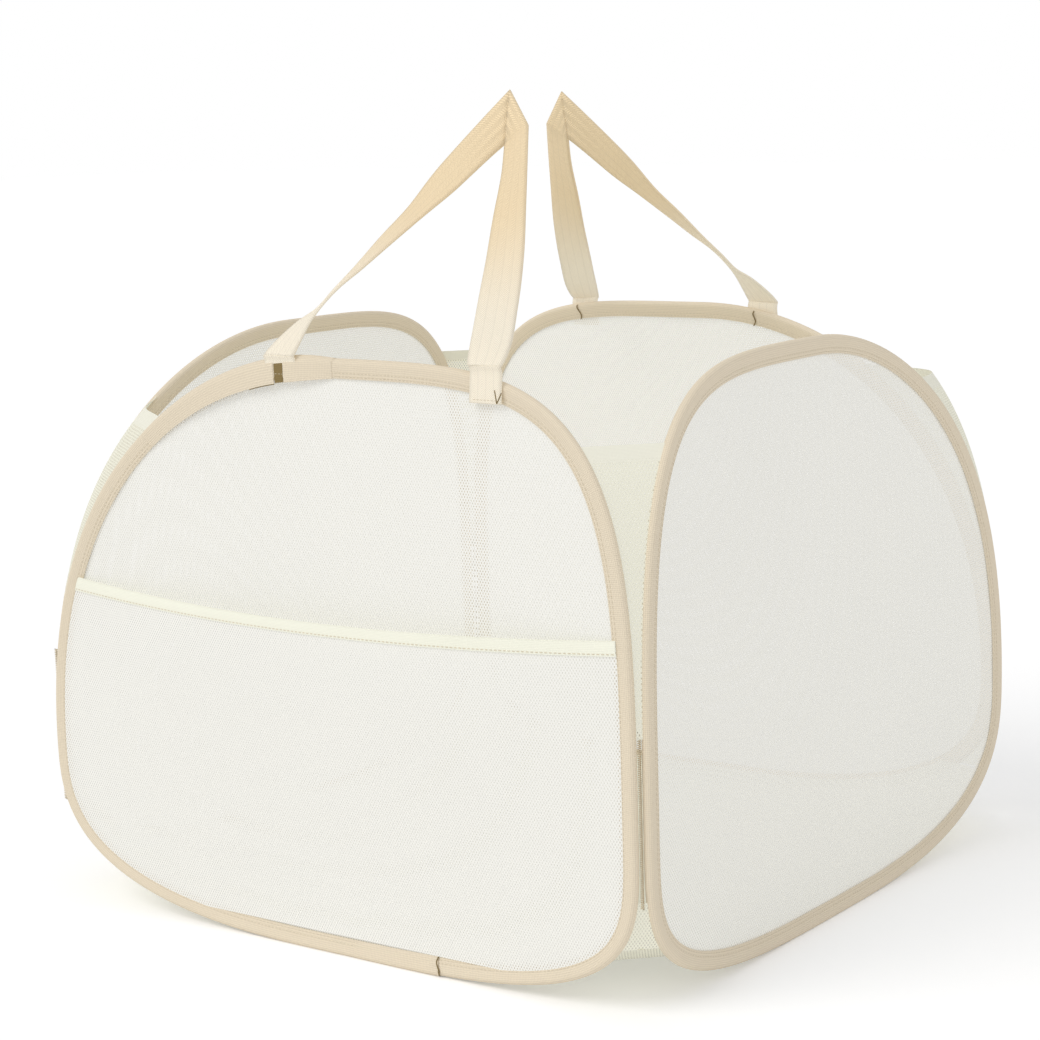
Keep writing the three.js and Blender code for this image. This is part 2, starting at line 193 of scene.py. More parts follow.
def grid_mesh(name, points, uv=None, close_rows=False, close_columns=False, cap=False, away_from=None):
    """Mesh of the grid of points (rows, columns, 3), each cell one quad. uv is (rows, columns, 2), with one
    more row or column where the grid closes on itself. A cap closes the first row with one face. Faces turn
    away from the point given, or, on a closed shape, outwards."""
    rows, columns = points.shape[:2]
    i, j = np.meshgrid(
        np.arange(rows if close_rows else rows - 1),
        np.arange(columns if close_columns else columns - 1),
        indexing="ij",
    )
    corners = [(i, j), (i, j + 1), (i + 1, j + 1), (i + 1, j)]
    faces = np.stack([(a % rows) * columns + b % columns for a, b in corners], -1).reshape(-1, 4)
    uvs = None
    if uv is not None:
        uvs = np.stack([uv[a, b] for a, b in corners], -2).reshape(-1, 4, 2)
    return mesh_object(name, points.reshape(-1, 3), faces, uvs, away_from, columns if cap else 0)


def mesh_object(name, vertices, faces, uvs=None, away_from=None, capped=0):
    """Object of a mesh whose faces are an (n, 3) or (n, 4) array, turned outwards. One more face closes the
    ring of the first vertices, as many as are capped."""
    corner = vertices[faces]
    normal = np.cross(corner[:, 1] - corner[:, 0], corner[:, 2] - corner[:, 0])
    normal += np.cross(corner[:, 2] - corner[:, 0], corner[:, -1] - corner[:, 0])
    centre = corner.mean(axis=1)
    source = vertices.mean(axis=0) if away_from is None else np.asarray(away_from)
    ring = np.arange(capped)[::-1]
    ring_uvs = uvs[ring, 0] if capped else np.empty((0, 2))
    if np.einsum("ij,ij->", normal, centre - source) < 0:
        faces = faces[:, ::-1]
        uvs = None if uvs is None else uvs[:, ::-1]
        ring, ring_uvs = ring[::-1], ring_uvs[::-1]
    mesh = bpy.data.meshes.new(name)
    mesh.from_pydata(vertices.tolist(), [], faces.tolist() + ([ring.tolist()] if capped else []))
    if uvs is not None:
        layer = mesh.uv_layers.new(name="UVMap")
        corner_uvs = np.concatenate([uvs.reshape(-1, 2), ring_uvs])
        layer.data.foreach_set("uv", corner_uvs.astype(np.float32).ravel())
    mesh.polygons.foreach_set("use_smooth", np.ones(len(mesh.polygons), bool))
    mesh.set_sharp_from_angle(angle=math.radians(50))
    mesh.update()
    piece = bpy.data.objects.new(name, mesh)
    bpy.context.scene.collection.objects.link(piece)
    return piece


def unit(vectors):
    return vectors / np.linalg.norm(vectors, axis=-1, keepdims=True)


def dress(piece, body, material, replaces=()):
    """Gives a piece its material, and lets it ride on a body in place of CAD nodes."""
    piece.data.materials.append(material)
    if body:
        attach(piece, body)
    if replaces:
        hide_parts(*replaces)
    return piece


def mesh_area(piece):
    """Area of a piece's mesh in square metres."""
    areas = np.empty(len(piece.data.polygons))
    piece.data.polygons.foreach_get("area", areas)
    return float(areas.sum())


def thicken(piece, thickness):
    """Gives a surface a thickness, half to each side."""
    solid = piece.modifiers.new("thickness", "SOLIDIFY")
    solid.thickness = thickness
    solid.offset = 0


def declare_cloth(piece, flat):
    """Works out a stretched sheet's area, at most that of a rectangle of the flat size, and does nothing with it.
    """
    area = min(mesh_area(piece), flat[0] * flat[1])


def quarter_turns(panel, x, y):
    """Turns places on the front side to a panel's own side."""
    for _ in range(PANELS[panel][0]):
        x, y = -y, x
    return x, y


# Places on a panel: s along it, n inwards from its outer face, z up


def rise_above_widest():
    return sizes().hoop_height * (1 - sizes().widest_share)


def widest_height():
    return sizes().hoop_height * sizes().widest_share


def hoop_half():
    return HINGE_LINE - SEAM_GAP


def bow_at(s, z):
    """Lean inwards: the bow, times one less the square of the share along, times the square of the share
    up."""
    k = sizes()
    along = np.clip(1 - (s / hoop_half()) ** 2, 0, 1)
    up = np.clip((z - widest_height()) / rise_above_widest(), 0, None)
    return k.bow * along * up**2


def place(panel, s, n, z):
    """Points in the row's frame from places on a panel."""
    s, n, z = np.broadcast_arrays(s, n, z)
    half = HINGE_LINE + 2 * sizes().roll_radius
    x, y = quarter_turns(panel, s, n + bow_at(s, z) - half)
    return np.stack([x, y + MIDDLE_Y, z], -1)


def panel_out(panel):
    """Direction outwards from a panel."""
    return np.array([*quarter_turns(panel, 0.0, -1.0), 0.0])


def travelled_along(points):
    """Length travelled along a line of points, at each of them."""
    return np.concatenate([[0], np.cumsum(np.linalg.norm(np.diff(points, axis=0), axis=1))])


def hoop_line(panel, count, inset=0.0):
    """Closed outline of a hoop as {s, z} points, directions inwards and the length travelled at each point.
    Each quarter is a superellipse: s is the half width times cos to the power 2/n, and z the rise times sin
    to the power 2/n, with its own exponent n. Points lie closer together where the outline turns."""
    k = sizes()
    turn = np.linspace(0, 2 * np.pi, OUTLINE_POINTS, endpoint=False)
    c, d = np.cos(turn), np.sin(turn)
    tight = c * PANELS[panel][1] > 0
    exponent = np.where(
        d > 0, np.where(tight, k.tight_top, k.round_top), np.where(tight, k.tight_bottom, k.round_bottom)
    )
    widest = widest_height()
    rise = np.where(d > 0, rise_above_widest(), widest + k.floor_flat)
    s = hoop_half() * np.sign(c) * np.abs(c) ** (2 / exponent)
    z = widest + rise * np.sign(d) * np.abs(d) ** (2 / exponent)
    fine = np.stack([s, z], -1)
    loop = np.vstack([fine, fine[:1]])
    step = np.diff(loop, axis=0)
    length = np.linalg.norm(step, axis=1)
    heading = np.unwrap(np.arctan2(step[:, 1], step[:, 0]))
    turning = np.abs(np.diff(np.append(heading, heading[0] + 2 * np.pi)))
    reach = np.concatenate([[0], np.cumsum(length + TURNING_PULL * turning)])
    want = np.linspace(0, reach[-1], count, endpoint=False)
    line = np.stack([np.interp(want, reach, loop[:, 0]), np.interp(want, reach, loop[:, 1])], -1)
    ahead = unit(np.roll(line, -1, axis=0) - np.roll(line, 1, axis=0))
    inward = np.stack([-ahead[:, 1], ahead[:, 0]], -1)
    line = line + inset * inward
    return line, inward, travelled_along(np.vstack([line, line[:1]]))


def half_width(panel, z, side, inset=0.0):
    """Place along a panel at which its outline, set in by the inset, crosses each height, on one side."""
    line, _, _ = hoop_line(panel, LOOKUP_POINTS, inset)
    edge = line[line[:, 0] * side > 0]
    edge = edge[np.argsort(edge[:, 1])]
    return np.interp(z, edge[:, 1], edge[:, 0])


def bottom_height(panel, s):
    """Height of the lower outline of a hoop at each place along the panel."""
    line, _, _ = hoop_line(panel, LOOKUP_POINTS)
    lower = line[line[:, 1] < widest_height()]
    lower = lower[np.argsort(lower[:, 0])]
    return np.interp(s, lower[:, 0], lower[:, 1])


# Shader node groups


def node_group(name, inputs, outputs):
    """Empty shader group with named inputs {name: (type, default)} and outputs {name: type}."""
    group = bpy.data.node_groups.new(name, "ShaderNodeTree")
    for label, (kind, default) in inputs.items():
        socket = group.interface.new_socket(name=label, in_out="INPUT", socket_type=kind)
        if default is not None:
            socket.default_value = default
    for label, kind in outputs.items():
        group.interface.new_socket(name=label, in_out="OUTPUT", socket_type=kind)
    return group, group.nodes.new("NodeGroupInput"), group.nodes.new("NodeGroupOutput")


class Wiring:
    """Short calls that add nodes to a tree: each input is a socket or a plain value."""

    def __init__(self, tree):
        self.tree = tree

    def node(self, kind, inputs=(), **settings):
        node = self.tree.nodes.new(kind)
        for key, value in settings.items():
            setattr(node, key, value)
        for i, value in enumerate(inputs):
            self.join(value, node.inputs[i])
        return node

    def join(self, value, socket):
        if isinstance(value, bpy.types.NodeSocket):
            self.tree.links.new(value, socket)
        elif value is not None:
            socket.default_value = value

    def math(self, operation, *inputs):
        return self.node("ShaderNodeMath", inputs, operation=operation).outputs[0]

    def vector(self, operation, *inputs):
        node = self.node("ShaderNodeVectorMath", operation=operation)
        for i, value in enumerate(inputs):
            self.join(value, node.inputs["Scale"] if operation == "SCALE" and i == 1 else node.inputs[i])
        return node.outputs["Value"] if operation in ("LENGTH", "DISTANCE") else node.outputs["Vector"]

    def split(self, vector):
        return self.node("ShaderNodeSeparateXYZ", (vector,)).outputs

    def smooth(self, value, low, high):
        node = self.node("ShaderNodeMapRange", (value, low, high, 0.0, 1.0), interpolation_type="SMOOTHSTEP")
        return node.outputs[0]

    def mix(self, factor, a, b):
        """Mix of two colours: a Mix node keeps them in its inputs 6 and 7, and the result in output 2."""
        node = self.node("ShaderNodeMix", data_type="RGBA")
        self.join(factor, node.inputs["Factor"])
        self.join(a, node.inputs[6])
        self.join(b, node.inputs[7])
        return node.outputs[2]

    def noise(self, vector, scale, detail=2.0):
        node = self.node("ShaderNodeTexNoise")
        self.join(vector, node.inputs["Vector"])
        self.join(scale, node.inputs["Scale"])
        self.join(detail, node.inputs["Detail"])
        return node.outputs["Fac"]


def knit_group():
    """Warp knitted mesh: upright oval holes in staggered rows. They are the pitch in metres apart along a
    row, and further apart up the cloth, by its squeeze. Hole is 1 inside one, and Height rises round each."""
    group, start, end = node_group(
        "Knit mesh",
        {
            "Vector": ("NodeSocketVector", None),
            "Pitch": ("NodeSocketFloat", 0.002),
            "Hole": ("NodeSocketFloat", 0.28),
        },
        {"Hole": "NodeSocketFloat", "Height": "NodeSocketFloat"},
    )
    w = Wiring(group)
    over = w.math("DIVIDE", 1.0, start.outputs["Pitch"])
    squeeze = 0.62
    place_in_cells = w.vector("SCALE", start.outputs["Vector"], over)
    place_in_cells = w.vector("MULTIPLY", place_in_cells, (1.0, squeeze, 0.0))
    distances = []
    for shift in (0.0, 0.5):
        moved = w.vector("ADD", place_in_cells, (shift, shift, 0.0))
        centred = w.vector("SUBTRACT", w.vector("FRACTION", moved), (0.5, 0.5, 0.0))
        distances.append(w.vector("LENGTH", centred))
    nearest = w.math("MINIMUM", *distances)
    inside = w.math("SUBTRACT", start.outputs["Hole"], nearest)
    w.join(w.smooth(inside, -0.05, 0.05), end.inputs["Hole"])
    w.join(w.smooth(nearest, 0.1, 0.5), end.inputs["Height"])
    return group


def weave_group():
    """Woven tape: ribs and threads that cross at a slant, on a map in metres. Height is the product of their
    sines, brought to between 0 and 1, and Shade is the same pattern with harder steps."""
    group, start, end = node_group(
        "Tape weave",
        {
            "Vector": ("NodeSocketVector", None),
            "Rib": ("NodeSocketFloat", 0.0022),
            "Slant": ("NodeSocketFloat", 0.6),
        },
        {"Height": "NodeSocketFloat", "Shade": "NodeSocketFloat"},
    )
    w = Wiring(group)
    along, across, _ = w.split(start.outputs["Vector"])
    full = w.math("DIVIDE", 2 * math.pi, start.outputs["Rib"])
    slanted = w.math("ADD", along, w.math("MULTIPLY", across, start.outputs["Slant"]))
    mirrored = w.math("SUBTRACT", along, w.math("MULTIPLY", across, start.outputs["Slant"]))
    rib = w.math("SINE", w.math("MULTIPLY", slanted, full))
    thread = w.math("SINE", w.math("MULTIPLY", mirrored, full))
    both = w.math("MULTIPLY", rib, thread)
    height = w.math("MULTIPLY_ADD", both, 0.5, 0.5)
    w.join(height, end.inputs["Height"])
    w.join(w.smooth(height, 0.1, 0.9), end.inputs["Shade"])
    return group


def webbing_group():
    """Herringbone webbing: slanted threads that change direction from one lengthwise row to the next."""
    group, start, end = node_group(
        "Webbing weave",
        {
            "Vector": ("NodeSocketVector", None),
            "Row": ("NodeSocketFloat", 0.0025),
            "Thread": ("NodeSocketFloat", 0.0011),
        },
        {"Height": "NodeSocketFloat", "Shade": "NodeSocketFloat"},
    )
    w = Wiring(group)
    along, across, _ = w.split(start.outputs["Vector"])
    wave = w.math("PINGPONG", across, start.outputs["Row"])
    slanted = w.math("ADD", along, wave)
    phase = w.math("MULTIPLY", slanted, w.math("DIVIDE", 2 * math.pi, start.outputs["Thread"]))
    height = w.math("MULTIPLY_ADD", w.math("SINE", phase), 0.5, 0.5)
    row = w.smooth(w.math("DIVIDE", wave, start.outputs["Row"]), 0.0, 0.25)
    height = w.math("MULTIPLY", height, w.math("MULTIPLY_ADD", row, 0.6, 0.4))
    w.join(height, end.inputs["Height"])
    w.join(w.smooth(height, 0.0, 1.0), end.inputs["Shade"])
    return group


def unevenness_group():
    """Slow, faint changes of tone over cloth, from noise on Object coordinates. Tone is about 1."""
    group, start, end = node_group(
        "Cloth unevenness",
        {
            "Vector": ("NodeSocketVector", None),
            "Scale": ("NodeSocketFloat", 14.0),
            "Amount": ("NodeSocketFloat", 0.04),
        },
        {"Tone": "NodeSocketFloat", "Height": "NodeSocketFloat"},
    )
    w = Wiring(group)
    noise = w.noise(start.outputs["Vector"], start.outputs["Scale"], 4.0)
    centred = w.math("SUBTRACT", noise, 0.5)
    w.join(w.math("MULTIPLY_ADD", centred, start.outputs["Amount"], 1.0), end.inputs["Tone"])
    w.join(noise, end.inputs["Height"])
    return group


GROUP_MAKERS = {
    "Knit mesh": knit_group,
    "Tape weave": weave_group,
    "Webbing weave": webbing_group,
    "Cloth unevenness": unevenness_group,
}


def use_group(wiring, name, **inputs):
    """Places a shared group in a tree, with its inputs set by name."""
    tree = bpy.data.node_groups.get(name) or GROUP_MAKERS[name]()
    node = wiring.tree.nodes.new("ShaderNodeGroup")
    node.node_tree = tree
    for label, value in inputs.items():
        wiring.join(value, node.inputs[label])
    return node.outputs


# Materials


def linear(gamma):
    """Scene linear colour, with alpha, from the gamma colour of a property."""
    low = [c / 12.92 if c <= 0.04045 else ((c + 0.055) / 1.055) ** 2.4 for c in gamma]
    return (*low, 1.0)


def shaded(gamma, factor):
    return linear([min(1.0, c * factor) for c in gamma])


def new_material(name):
    material = bpy.data.materials.new(name)
    material.use_nodes = True
    shader = material.node_tree.nodes["Principled BSDF"]
    return material, Wiring(material.node_tree), shader


def shared_material(maker, name, *values, **settings):
    """The material of that name, made when a piece first asks for it."""
    return bpy.data.materials.get(name) or maker(name, *values, **settings)


def set_sockets(node, values):
    for label, value in values.items():
        node.inputs[label].default_value = value


def add_bump(w, shader, height, distance, strength=1.0):
    bump = w.node("ShaderNodeBump")
    set_sockets(bump, {"Strength": strength, "Distance": distance})
    w.join(height, bump.inputs["Height"])
    w.join(bump.outputs["Normal"], shader.inputs["Normal"])


def colour_cloth(w, shader, colour_socket, tone, glow):
    """Gives cloth its colour times a tone, and a painted glow: emission of that colour that stands in for light
    soaking through from behind.
    """
    grey = w.node("ShaderNodeCombineXYZ", (tone, tone, tone)).outputs[0]
    toned = w.vector("MULTIPLY", colour_socket, grey)
    w.join(toned, shader.inputs["Base Color"])
    w.join(toned, shader.inputs["Emission Color"])
    set_sockets(shader, {"Emission Strength": glow})


def woven_material(name, gamma, group, pattern, depth, dark=0.9, glow=0.02, faded=None):
    """Tape or webbing: its weave on the UV map in metres darkens and embosses the colour. Where an end colour is
    given, it takes over along the webbing, and the painted shade of the webbing's upper part fades out."""
    material, w, shader = new_material(name)
    coordinates = w.node("ShaderNodeTexCoord").outputs
    weave = use_group(w, group, Vector=coordinates["UV"], **pattern)
    uneven = use_group(w, "Cloth unevenness", Vector=coordinates["Object"])
    base = w.mix(weave["Shade"], shaded(gamma, dark), linear(gamma))
    # Painted shade: the darker upper webbing gives way to the paler end colour towards the sewn ends
    if faded:
        pale = w.mix(weave["Shade"], shaded(faded, dark), linear(faded))
        beyond = w.smooth(w.split(coordinates["UV"])[0], sizes().shade_fade_start, sizes().shade_fade_end)
        base = w.mix(beyond, base, pale)
    colour_cloth(w, shader, base, uneven["Tone"], glow)
    w.join(w.math("MULTIPLY_ADD", weave["Shade"], 0.08, 0.81), shader.inputs["Roughness"])
    set_sockets(shader, {"Sheen Weight": 0.06, "Sheen Roughness": 0.5, "Specular IOR Level": 0.3})
    height = w.math("MULTIPLY_ADD", uneven["Height"], 0.4, weave["Height"])
    add_bump(w, shader, height, depth)
    return material


def mesh_material(name, gamma, hole, open_share, glow):
    """Knitted mesh: see through in its holes by the open share, with raised loops between them. The hole is
    its radius as a share of the mesh's pitch."""
    material, w, shader = new_material(name)
    coordinates = w.node("ShaderNodeTexCoord").outputs
    knit = use_group(w, "Knit mesh", Vector=coordinates["UV"], Pitch=sizes().mesh_pitch, Hole=hole)
    uneven = use_group(w, "Cloth unevenness", Vector=coordinates["Object"], Scale=9.0, Amount=0.03)
    base = w.mix(knit["Height"], shaded(gamma, 0.97), linear(gamma))
    colour_cloth(w, shader, base, uneven["Tone"], glow)
    w.join(w.math("MULTIPLY_ADD", knit["Hole"], -open_share, 1.0), shader.inputs["Alpha"])
    w.join(w.math("MULTIPLY_ADD", knit["Height"], 0.1, 0.82), shader.inputs["Roughness"])
    set_sockets(shader, {"Sheen Weight": 0.05, "Specular IOR Level": 0.25})
    add_bump(w, shader, knit["Height"], 0.09 * MM, strength=0.6)
    return material


def grained_material(name, gamma, grain, dark, roughness, depth, metallic=0.0):
    """Thread or wire: noise on Object coordinates, of the grain's scale, darkens and embosses the colour, and
    takes the roughness from its least to its most."""
    material, w, shader = new_material(name)
    noise = w.noise(w.node("ShaderNodeTexCoord").outputs["Object"], grain)
    least, most = roughness
    w.join(w.mix(noise, shaded(gamma, dark), linear(gamma)), shader.inputs["Base Color"])
    w.join(w.math("MULTIPLY_ADD", noise, most - least, least), shader.inputs["Roughness"])
    set_sockets(shader, {"Metallic": metallic})
    add_bump(w, shader, noise, depth)
    return material


def thread_material(name, gamma):
    return shared_material(
        grained_material, name, gamma, grain=900.0, dark=0.85, roughness=(0.6, 0.8), depth=0.1 * MM
    )


def sewing_thread():
    return thread_material("plied thread", colours().thread)


# Dark thread for knots and tacks, also used for a thin line of painted shade along the tape's edge
def dark_thread():
    return thread_material("dark plied thread", colours().dark_thread)


def seam_thread():
    return thread_material("overcast thread", colours().seam_thread)


def wire_material():
    return shared_material(
        grained_material, "drawn wire", colours().wire,
        grain=400.0, dark=0.8, roughness=(0.25, 0.5), depth=0.05 * MM, metallic=1.0,
    )


def tape_material():
    pattern = {"Rib": 2.4 * MM, "Slant": 0.9}
    return shared_material(
        woven_material, "woven tape", colours().tape, "Tape weave", pattern, depth=0.18 * MM, dark=0.93
    )


# Painted shade: a dark copy of the tape for the shadowed inside of its fold
def tape_fold_shade_material():
    pattern = {"Rib": 2.4 * MM, "Slant": 0.9}
    return shared_material(
        woven_material, "tape's inside", colours().dark_thread, "Tape weave", pattern, depth=0.1 * MM
    )


# Hems, webbing and mesh below take a painted glow: emission that stands in for light soaking through them
def hem_tape_material(name, gamma, glow):
    pattern = {"Rib": 1.5 * MM, "Slant": 1.0}
    return shared_material(
        woven_material, name, gamma, "Tape weave", pattern, depth=0.12 * MM, dark=0.96, glow=glow
    )


def hem_material():
    return hem_tape_material("woven hem", colours().hem, glow=0.16)


def gusset_hem_material():
    return hem_tape_material("woven gusset hem", colours().gusset_hem, glow=0.2)


def webbing_material():
    pattern = {"Row": 3.1 * MM, "Thread": 1.4 * MM}
    return shared_material(
        woven_material, "herringbone webbing", colours().webbing, "Webbing weave", pattern,
        depth=0.2 * MM, glow=0.22, faded=colours().webbing_end,
    )


def panel_mesh_material():
    return shared_material(
        mesh_material, "knitted panel", colours().mesh, hole=0.17, open_share=0.7, glow=0.37
    )


def gusset_mesh_material():
    return shared_material(
        mesh_material, "knitted gusset", colours().gusset, hole=0.18, open_share=0.6, glow=0.25
    )


def floor_material():
    """Floor that a camera sees as white paper: it glows a little, so only shadows darken it."""
    material, w, shader = new_material("floor")
    noise = w.noise(w.node("ShaderNodeTexCoord").outputs["Object"], 3.0)
    pale = w.mix(noise, shaded(colours().floor, 0.995), linear(colours().floor))
    w.join(pale, shader.inputs["Base Color"])
    set_sockets(
        shader, {"Roughness": 0.9, "Specular IOR Level": 0.0, "Emission Color": (0.95, 0.97, 1.0, 1.0)}
    )
    seen = w.node("ShaderNodeLightPath").outputs["Is Camera Ray"]
    w.join(w.math("MULTIPLY", seen, 0.17), shader.inputs["Emission Strength"])
    return material


# Pieces


def tape_tangent(radius, width, end):
    """Angle about the wire at which tape leaves a roll of this radius, to lie straight to its edge, which is
    the width less the roll's radius away and stands off the wire's plane by the end's offset."""
    away = math.hypot(width - sizes().roll_radius, end)
    return math.atan2(end, width - sizes().roll_radius) + math.acos(radius / away)


def tape_face(r):
    """How far the tape's outside stands off the wire's plane at each distance r from the hoop's edge."""
    k = sizes()
    end = k.leg_gap + k.tape
    turn = tape_tangent(k.roll_radius, k.binding_width, end)
    leave = k.roll_radius + k.roll_radius * math.cos(turn)
    top = k.roll_radius * math.sin(turn)
    roll = np.sqrt(np.clip(k.roll_radius**2 - (k.roll_radius - r) ** 2, 0, None))
    flat = top + (end - top) * (r - leave) / (k.binding_width - leave)
    return np.where(r < leave, roll, flat)


def tape_section(crest=0.0, edge=0.0, tape=None):
    """Section of tape folded over a wire, as closed {r, n} points: r inwards from the hoop's outer edge and n
    across. The outside is an arc about the wire and two straight legs that touch it, and the inside is the
    same a tape's thickness further in. A second layer stands off the first at its crest and at its edge."""
    k = sizes()
    tape = k.tape if tape is None else tape

    def bend(radius, end):
        width = k.binding_width + crest
        leave = tape_tangent(radius, width, end)
        turn = np.linspace(leave, 2 * math.pi - leave, ROLL_POINTS)
        arc = np.stack([radius * np.cos(turn), radius * np.sin(turn)], -1) + k.roll_radius
        part = np.linspace(0, 1, LEG_POINTS, endpoint=False)[:, None]
        first = np.array([width, k.roll_radius + end]) * (1 - part) + arc[0] * part
        last = np.array([width, k.roll_radius - end]) * (1 - part) + arc[-1] * part
        return np.vstack([first, arc, last[::-1]])

    radius = k.roll_radius + crest
    end = k.leg_gap + k.tape + edge
    return np.vstack([bend(radius, end), bend(radius - tape, end - tape)[::-1]])


def sweep_section(panel, line, inward, section, travelled):
    """Points and UV of a section carried along an outline, one for the whole of it or one for each of its
    points: each point is the outline's point plus r times the direction inwards, at the depth n, and never
    below the floor. UV is metres along and around."""
    section = np.broadcast_to(section, (len(line), *section.shape[-2:]))
    s = line[:, None, 0] + section[..., 0] * inward[:, None, 0]
    z = line[:, None, 1] + section[..., 0] * inward[:, None, 1]
    points = place(panel, s, section[..., 1], np.maximum(z, 0))
    around = travelled_along(np.vstack([section[0], section[0][:1]]))
    return points, np.stack(np.meshgrid(travelled, around, indexing="ij"), -1)


def thread_ring(across, out, radius):
    """Ring of a thread's sides at each of a row of places: the radius times the cosine of each side's angle
    across, plus its sine outwards."""
    return radius * (np.cos(THREAD_ANGLES) * across[:, None] + np.sin(THREAD_ANGLES) * out[:, None])


def stitches(name, centres, ahead, out, length, radius):
    """Thread stitches: each is a spindle of two tips and two rings about its centre, along the direction
    ahead."""
    rim = thread_ring(unit(np.cross(ahead, out)), out, radius)
    rings = [centres[:, None] + where * length * ahead[:, None] + rim for where in STITCH_RINGS]
    tips = [(centres + where * length * ahead)[:, None] for where in (-0.5, 0.5)]
    points = np.concatenate([tips[0], *rings, tips[1]], axis=1)
    a = np.arange(THREAD_SIDES)
    b = (a + 1) % THREAD_SIDES
    first, second, tip = 1, 1 + THREAD_SIDES, 1 + 2 * THREAD_SIDES
    corners = [
        (np.zeros_like(a), first + b, first + a),
        (second + a, second + b, np.full_like(a, tip)),
        (first + a, first + b, second + b),
        (first + a, second + b, second + a),
    ]
    faces = np.concatenate([np.stack(corner, -1) for corner in corners])
    starts = np.arange(len(centres))[:, None, None] * (tip + 1)
    return mesh_object(name, points.reshape(-1, 3), (faces + starts).reshape(-1, 3))


def row_of_stitches(name, panel, points, facing, spacing, length, radius):
    """Sewing thread on a panel: even stitches along a line of points, on cloth that faces one way."""
    reach = travelled_along(points)
    want = np.arange(spacing / 2, reach[-1], spacing)
    centres, beyond = (
        np.stack([np.interp(where, reach, points[:, i]) for i in range(3)], -1)
        for where in (want, want + spacing / 4)
    )
    facing = np.broadcast_to(facing, centres.shape)
    piece = stitches(name, centres, unit(beyond - centres), facing, length, radius)
    dress(piece, panel, sewing_thread())


def thread_line(name, path, radius, body, material, replaces=()):
    """Thread along a path of points: a tube, square to the path."""
    ahead = unit(np.gradient(path, axis=0))
    across = unit(np.cross(ahead, SKEW))
    ring = thread_ring(across, np.cross(ahead, across), radius)
    piece = grid_mesh(name, path[:, None] + ring, close_columns=True)
    dress(piece, body, material, replaces)


